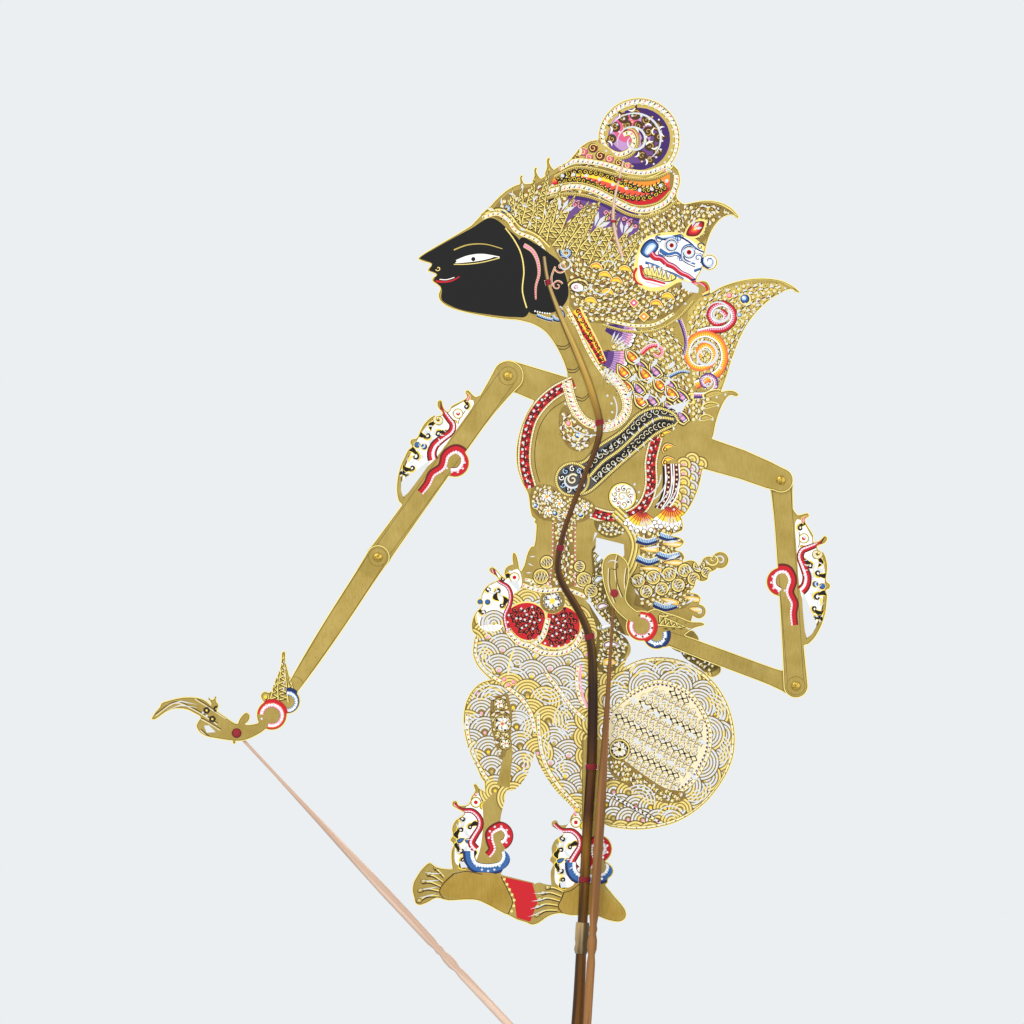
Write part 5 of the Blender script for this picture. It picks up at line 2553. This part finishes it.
@dataclass(frozen=True)
class MainRod:
    """Sizes of the main rod, in millimetres."""

    way: tuple[Pt, ...] = (
        (-19, 638), (-16, 620), (-8, 598), (3, 573), (13, 548), (20, 522), (17.6, 505), (10, 486), (2.8, 467.6),
        (-4, 449), (-7.6, 434), (-9.2, 420), (-6, 409),
        (0.4, 398.4), (8, 385), (12.8, 372), (14.8, 358), (15.3, 335), (15, 308), (14.2, 281), (12.6, 255), (11, 230),
        (9.6, 202), (8.2, 174), (7.5, 160),
    )
    grip: tuple[Pt, ...] = ((7.3, 157), (5.6, 119), (3, 78.2), (1, 40.8), (0.1, 13.6), (0, 0))
    collar: tuple[Pt, ...] = (
        (0, -13), (4.1, -13), (4.9, -10.5), (4.9, -9), (4.4, -6.5), (4.4, -5.5), (4.9, -3), (4.9, 6), (4.7, 9), (0, 9)
    )
    lashed: tuple[tuple[int, str], ...] = (
        (1, "cheek"), (5, "neck"), (10, "waist"), (15, "hip"), (19, "knee"), (22, "ankle")
    )
    taper: tuple[Pt, ...] = (
        (0, 0.02), (0.06, 0.1), (0.125, 0.6), (0.18, 0.6), (0.21, 0.5), (0.28, 0.2), (0.36, 0.2), (0.46, 0.42),
        (0.6, 0.7), (0.72, 1), (1, 1)
    )
    half_hide: float = 0.75
    thin: float = 1.3
    swell: float = 2.2
    grip_radius: float = 3.5
    grip_belly: float = 0.9
    grip_flare: float = 0.25
    grip_start: float = 480.0
    collar_at: tuple[float, float, float] = (7.7, 0.0, 163.0)
    collar_lean: float = 3.3
    spike: tuple[Pt, ...] = ((0, 4), (3, 4), (3, -50), (0.4, -80), (0, -80))
    thread: float = 0.8
    turns: int = 5
    steps: int = 26

    def limb(self, t: float) -> float:
        """Radius of a limb at a share of its length.

        Args:
            t: Share of the length.

        Returns:
            Radius in millimetres.
        """
        for (t0, k0), (t1, k1) in zip(self.taper, self.taper[1:]):
            if t <= t1:
                return self.thin + self.swell * (k0 + (k1 - k0) * (t - t0) / (t1 - t0))
        return self.thin + self.swell

    def sampled(self, knots: Sequence[Pt], step: float) -> tuple[list[Vector], list[float]]:
        """Smooth points of a path and their shares of the knots.

        Args:
            knots: Points that the path passes through.
            step: Distance between points.

        Returns:
            Points and shares.
        """
        shares = []
        for i, (a, b) in enumerate(zip(knots, knots[1:])):
            count = max(1, round(gap(a, b) / step))
            shares += [(i + j / count) / (len(knots) - 1) for j in range(count)]
        return [Vector((x, 0, z)) for x, z in spline(knots, step)], [*shares, 1.0]

    def build(self, f: Finishes) -> None:
        """Make the rod and its lashings.

        Args:
            f: Materials of the puppet.
        """
        bm = bmesh.new()
        path, shares = self.sampled(self.way, 4.0)
        Sweep(path, [self.limb(t) for t in shares], self.half_hide).add(bm)
        path, shares = self.sampled(self.grip, 5.0)
        bellies = [self.grip_belly * math.sin(math.pi * min(1.0, 1.02 * t)) for t in shares]
        radii = [self.grip_radius + k + self.grip_flare * t for k, t in zip(bellies, shares)]
        Sweep(path, radii, start=self.grip_start).add(bm)
        lean = Matrix.Rotation(math.radians(self.collar_lean), 4, "Y")
        lathe(bm, self.collar, Matrix.Translation(Vector(self.collar_at) * MM) @ lean)
        lathe(bm, self.spike, Matrix.Identity(4))
        finish_mesh("main_rod_horn", bm, "figure", ["main_rod"], f.dark_horn)
        for i, name in self.lashed:
            self.lash(i, f"{name}_lashing", f.thread)

    def lash(self, i: int, name: str, material: bpy.types.Material) -> None:
        """Wind thread around both limbs through the hide.

        Args:
            i: Number of the knot that it sits on.
            name: CAD node of the lashing.
            material: Finish to dress it in.
        """
        a, b = self.way[max(0, i - 1)], self.way[min(len(self.way) - 1, i + 1)]
        way = Vector((b[0] - a[0], 0, b[1] - a[1])).normalized()
        side = way.cross(Vector((0, 1, 0)))
        reach = self.limb(i / (len(self.way) - 1)) + 0.14 + self.thread * 0.42
        mid = Vector((self.way[i][0], 0, self.way[i][1]))
        path = []
        for k in range(self.turns * self.steps + 1):
            ang = 2 * math.pi * k / self.steps
            y = math.cos(ang) * reach + math.copysign(self.half_hide, math.cos(ang))
            along = way * (k / self.steps - self.turns / 2) * self.thread * 0.96
            path.append(mid + side * math.sin(ang) * reach + Vector((0, y, 0)) + along)
        bm = bmesh.new()
        Tube(path, self.thread * 0.46).add(bm)
        finish_mesh(name + "_thread", bm, "figure", [name], material)


@dataclass
class Tube:
    """Round thread along a free path, in millimetres."""

    path: list[Vector]
    radius: float
    sides: int = 8

    def add(self, bm: bmesh.types.BMesh) -> None:
        """Add the thread, with rings turned as little as can be.

        Args:
            bm: Mesh to add to.
        """
        up = Vector((0.3, 0.2, 0.9))
        rings = []
        for i, p in enumerate(self.path):
            way = (self.path[min(i + 1, len(self.path) - 1)] - self.path[max(i - 1, 0)]).normalized()
            side = (up - way * up.dot(way)).normalized()
            up = side
            over = way.cross(side)
            turn = Matrix((side, over, way)).transposed().to_4x4()
            rings.append(bmesh.ops.create_circle(
                bm, segments=self.sides, radius=self.radius * MM, matrix=Matrix.Translation(p * MM) @ turn
            )["verts"])
        for a, b in zip(rings, rings[1:]):
            for k in range(self.sides):
                bm.faces.new((a[k], a[(k + 1) % self.sides], b[(k + 1) % self.sides], b[k]))
        bm.faces.new(rings[0])
        bm.faces.new(rings[-1])


@dataclass(frozen=True)
class HandRod:
    """Thin rod that moves a hand."""

    node: str
    body: str
    tie: Pt
    depth: float
    lean: float
    knob: float
    long: float = 400.0
    thick: float = 3.4
    tip: float = 1.1
    eye: tuple[Pt, ...] = ((0.86, -1.3), (1.9, -1.3), (2.2, -1.0), (2.2, 1.0), (1.9, 1.3), (0.86, 1.3), (0.86, -1.3))

    def profile(self) -> list[Pt]:
        """Radius and distance from the eye, smoothed between the carved rings.

        Returns:
            Radius and distance of each point.
        """
        r, k, n = self.thick, self.knob, self.long
        body = [
            (self.tip, 0), (self.tip, 40), (self.tip + 0.35 * (r - self.tip), 80), (r * 0.82, 118), (r, 150),
            (r * 0.94, k - 14)
        ]
        carved = [
            (r * 0.72, k - 8), (r * 0.9, k - 5), (r * 0.7, k - 2), (r, k + 3), (r, k + 9), (r * 0.7, k + 13),
            (r * 0.88, k + 19)
        ]
        end = [(r * 0.84, n - 20), (r * 0.96, n - 8), (r * 0.7, n - 1), (r * 0.4, n), (0, n)]
        out: list[Pt] = [(0, 0)]
        for a, b in zip(body, body[1:]):
            out += [(a[0] + (b[0] - a[0]) * i / 5, a[1] + (b[1] - a[1]) * i / 5) for i in range(5)]
        return [*out, body[-1], *carved, *end]

    def build(self, material: bpy.types.Material, slot: str) -> None:
        """Make the rod with its eye.

        Args:
            material: Finish to dress it in.
            slot: Material slot.
        """
        bm = bmesh.new()
        turn = Matrix.Translation(Vector((
            self.tie[0], self.depth, self.tie[1]
        )) * MM) @ Matrix.Rotation(math.radians(self.lean), 4, "Y")
        lathe(bm, [(r, -d) for r, d in self.profile()][::-1], turn, 28)
        lathe(bm, self.eye, turn @ Matrix.Rotation(math.radians(90), 4, "X"), 32)
        finish_mesh(self.node + "_horn", bm, self.body, [self.node], material)


@dataclass(frozen=True)
class Splint:
    """Thin splint up the headdress, in millimetres."""

    way: tuple[Pt, ...] = ((36.6, 705), (33.6, 692), (30.4, 678), (29.6, 664), (32, 650), (36, 638))
    depth: float = -0.75
    tip: float = 0.7
    swell: float = 0.6

    def build(self, material: bpy.types.Material) -> None:
        """Make the splint, which grows thicker towards its foot.

        Args:
            material: Finish to dress it in.
        """
        bm = bmesh.new()
        path = [Vector((x, self.depth, z)) for x, z in spline(self.way, 3.0)]
        last = len(path) - 1
        Sweep(path, [self.tip + self.swell * i / last for i in range(last + 1)], sides=16).add(bm)
        finish_mesh("head_splint_horn", bm, "figure", ["head_splint"], material)


@dataclass(frozen=True)
class Rivet:
    """Domed rivet that two hides turn on."""

    node: str
    body: str
    head: float = 3.2
    rise: float = 1.5
    lip: float = 0.3
    pin: float = 1.8
    chamfer: float = 0.2

    def build(self, material: bpy.types.Material) -> None:
        """Make the dome and the pin from the place of the CAD rivet.

        Args:
            material: Finish to dress it in.
        """
        lo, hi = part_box(self.node)
        mid = Vector(((lo[0] + hi[0]) / 2, lo[1] + self.rise * MM, (lo[2] + hi[2]) / 2))
        end = (hi[1] - mid.y) / MM
        angles = [math.pi / 2 * i / 9 for i in range(9)]
        dome = [(self.head * math.cos(a), self.lip + (self.rise - self.lip) * math.sin(a)) for a in angles]
        foot = [(0, -end), (self.pin - self.chamfer, -end), (self.pin, -end + self.chamfer), (self.pin, 0)]
        bm = bmesh.new()
        turn = Matrix.Translation(mid) @ Matrix.Rotation(math.radians(90), 4, "X")
        lathe(bm, [*foot, (self.head, 0), *dome, (0, self.rise)], turn, 40)
        finish_mesh(self.node + "_brass", bm, self.body, [self.node], material)


@dataclass(frozen=True)
class Lamp:
    """One soft light: place and size in metres, power in watts."""

    name: str
    place: tuple[float, float, float]
    size: float
    power: float


@dataclass(frozen=True)
class Stage:
    """Camera, light, pale surroundings and floor, in metres."""

    lens: float = 200.9
    sensor: float = 36.0
    reach: float = 50.0
    eye: tuple[float, float, float] = (-0.0413, -4.0, 0.4592)
    aim: tuple[float, float, float] = (0.0, 0.0, 0.42)
    lamps: tuple[Lamp, ...] = (
        Lamp("key", (-1.4, -2.6, 2.2), 1.8, 60.0),
        Lamp("fill", (1.8, -2.4, 0.9), 2.0, 30.0),
        Lamp("back", (0.6, 2.2, 1.6), 1.6, 20.0),
    )
    seen: str = "#ebeff2"
    light: tuple[float, float, float, float] = (0.95, 0.97, 1.0, 1.0)
    strength: float = 0.75
    seen_by: tuple[str, ...] = ("Is Camera Ray", "Is Glossy Ray", "Is Transmission Ray")
    floor_level: float = -0.085
    floor_radius: float = 1.0
    floor_shades: tuple[str, str] = ("#cfd4d7", "#d9dde0")

    def build(self) -> None:
        """Set everything around the puppet."""
        self.camera()
        self.world()
        for lamp in self.lamps:
            data = bpy.data.lights.new(lamp.name, "AREA")
            data.energy, data.size = lamp.power, lamp.size
            obj = bpy.data.objects.new(lamp.name, data)
            obj.location = lamp.place
            obj.rotation_euler = (Vector(self.aim) - Vector(lamp.place)).to_track_quat("-Z", "Y").to_euler()
            bpy.context.collection.objects.link(obj)
        self.floor()
        bpy.context.scene.view_settings.view_transform = "Standard"

    def camera(self) -> None:
        """Far camera that looks straight at the sheet."""
        data = bpy.data.cameras.new("camera")
        data.lens, data.sensor_width = self.lens, self.sensor
        data.clip_end = self.reach
        eye = bpy.data.objects.new("camera", data)
        eye.location = self.eye
        eye.rotation_euler = (math.pi / 2, 0, 0)
        bpy.context.collection.objects.link(eye)
        bpy.context.scene.camera = eye

    def world(self) -> None:
        """Pale surroundings for the camera and soft light for the rest."""
        world = bpy.data.worlds.new("pale")
        bpy.context.scene.world = world
        g = Graph("pale", world)
        lit = g.node("ShaderNodeBackground", {}, {"Color": self.light, "Strength": self.strength})
        seen = g.node("ShaderNodeBackground", {}, {"Color": linear(self.seen)})
        first, *others = (g.node("ShaderNodeLightPath", out=ray) for ray in self.seen_by)
        for other in others:
            first = g.node("ShaderNodeMath", {"operation": "ADD", "use_clamp": True}, {0: first, 1: other})
        mixed = g.node("ShaderNodeMixShader", {}, {"Fac": first, 1: lit, 2: seen})
        g.links.new(mixed.out, g.nodes["World Output"].inputs["Surface"])

    def floor(self) -> None:
        """Pale floor below the spike."""
        bm = bmesh.new()
        place = Matrix.Translation((0, 0, self.floor_level))
        bmesh.ops.create_circle(bm, cap_ends=True, segments=64, radius=self.floor_radius, matrix=place)
        mesh = bpy.data.meshes.new("floor")
        bm.to_mesh(mesh)
        bm.free()
        g = Graph("pale floor")
        cloud = g.noise(g.node("ShaderNodeTexCoord", out="Object"), 6.0)
        dark, pale = (linear(shade) for shade in self.floor_shades)
        mesh.materials.append(g.feed(Base_Color=g.mix(cloud, dark, pale), Roughness=0.9))
        obj = bpy.data.objects.new("floor", mesh)
        bpy.context.collection.objects.link(obj)


@dataclass
class Puppet:
    """The whole puppet: places of its joints and levels where the hide is parted into pieces, in millimetres."""

    bands: tuple[float, ...] = (262.0, 296.0, 330.0, 362.0, 400.0, 452.0, 545.0, 604.0, 660.0)
    shoulder_f: Pt = (-44.1, 554.4)
    elbow_f: Pt = (-135.1, 427.7)
    wrist_f: Pt = (-193.0, 338.0)
    tie_f: Pt = (-233.1, 305.2)
    shoulder_r: Pt = (147.0, 481.5)
    elbow_r: Pt = (157.5, 337.5)
    wrist_r: Pt = (62.0, 373.6)
    tie_r: Pt = (30.1, 402.5)
    hide: float = 1.5
    arm_hide: float = 1.2
    f: Finishes = field(default_factory=Finishes)

    def edge(self, canvas: Canvas, node: str) -> None:
        """Bright and dark lines along a hide's rim.

        Args:
            canvas: Canvas to paint on.
            node: CAD node of the hide.
        """
        ring = loops_of(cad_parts[node])[0]
        ring = [*ring, ring[0]]
        place, canvas.place = canvas.place, lambda p: p
        canvas.line(P.BRIGHT, shifted(ring, 0.3), 0.62)
        canvas.line(P.OLIVE, shifted(ring, 0.85), 0.45)
        canvas.place = place

    def hides(self) -> None:
        """Paint and make every hide."""
        body = Canvas()
        for painter in (HeadPainter(body), ClothPainter(body), TorsoPainter(body), LegPainter(body)):
            painter.paint()
        self.edge(body, "body_hide")
        HideSheet("body_hide", "figure", Layer(-self.hide / 2, self.hide), body, self.bands).build(self.f.hide)
        for node, bod, root, goal, side, y in (
            ("front_upper_arm", "front_arm", self.shoulder_f, self.elbow_f, -1.0, -2.25),
            ("rear_upper_arm", "rear_arm", self.shoulder_r, self.elbow_r, 1.0, 1.05)
        ):
            arm = ArmPainter(root, goal, side)
            arm.plain(False)
            arm.band()
            self.edge(arm.c, node)
            HideSheet(node, bod, Layer(y, self.arm_hide), arm.c).build(self.f.hide)
        for node, bod, root, goal, layer, hand in (
            (
                "front_forearm", "front_hand", self.elbow_f, self.wrist_f,
                Layer(-3.75, self.arm_hide, self.elbow_f, self.wrist_f, 15.0, 108.0, -19.95), HandPainter.front
            ),
            (
                "rear_forearm", "rear_hand", self.elbow_r, self.wrist_r,
                Layer(2.55, self.arm_hide, self.elbow_r, self.wrist_r, 23.0, 58.0, -11.85), HandPainter.rear
            ),
        ):
            arm = ArmPainter(root, goal, 1.0)
            arm.plain(True)
            arm.c.place = lambda p: p
            hand(arm.c)
            self.edge(arm.c, node)
            HideSheet(node, bod, layer, arm.c).build(self.f.hide)

    def build(self) -> None:
        """Make every piece."""
        self.hides()
        MainRod().build(self.f)
        HandRod("front_hand_rod", "front_rod", self.tie_f, -17.15, -43.0, 212).build(self.f.pale_horn, "pale_horn")
        HandRod("rear_hand_rod", "rear_rod", self.tie_r, -9.05, 3.6, 240).build(self.f.brown_horn, "pale_horn")
        Splint().build(self.f.pale_horn)
        for name, body in (
            ("front_shoulder", "figure"), ("rear_shoulder", "figure"), ("front_elbow", "front_arm"),
            ("rear_elbow", "rear_arm")
        ):
            Rivet(name + "_rivet", body).build(self.f.brass)
        for node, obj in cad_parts.items():
            kept = {"stitch": self.f.thread, "tie": self.f.thread, "burr": self.f.brass}
            material = kept.get(node.split("_")[-1])
            if material is not None:
                obj.data.materials.clear()
                obj.data.materials.append(material)


def main() -> None:
    """Build the puppet and its surroundings."""
    logging.basicConfig(level=logging.INFO, format="%(name)s %(message)s")
    Puppet().build()
    Stage().build()


if __name__ == "__main__":
    main()
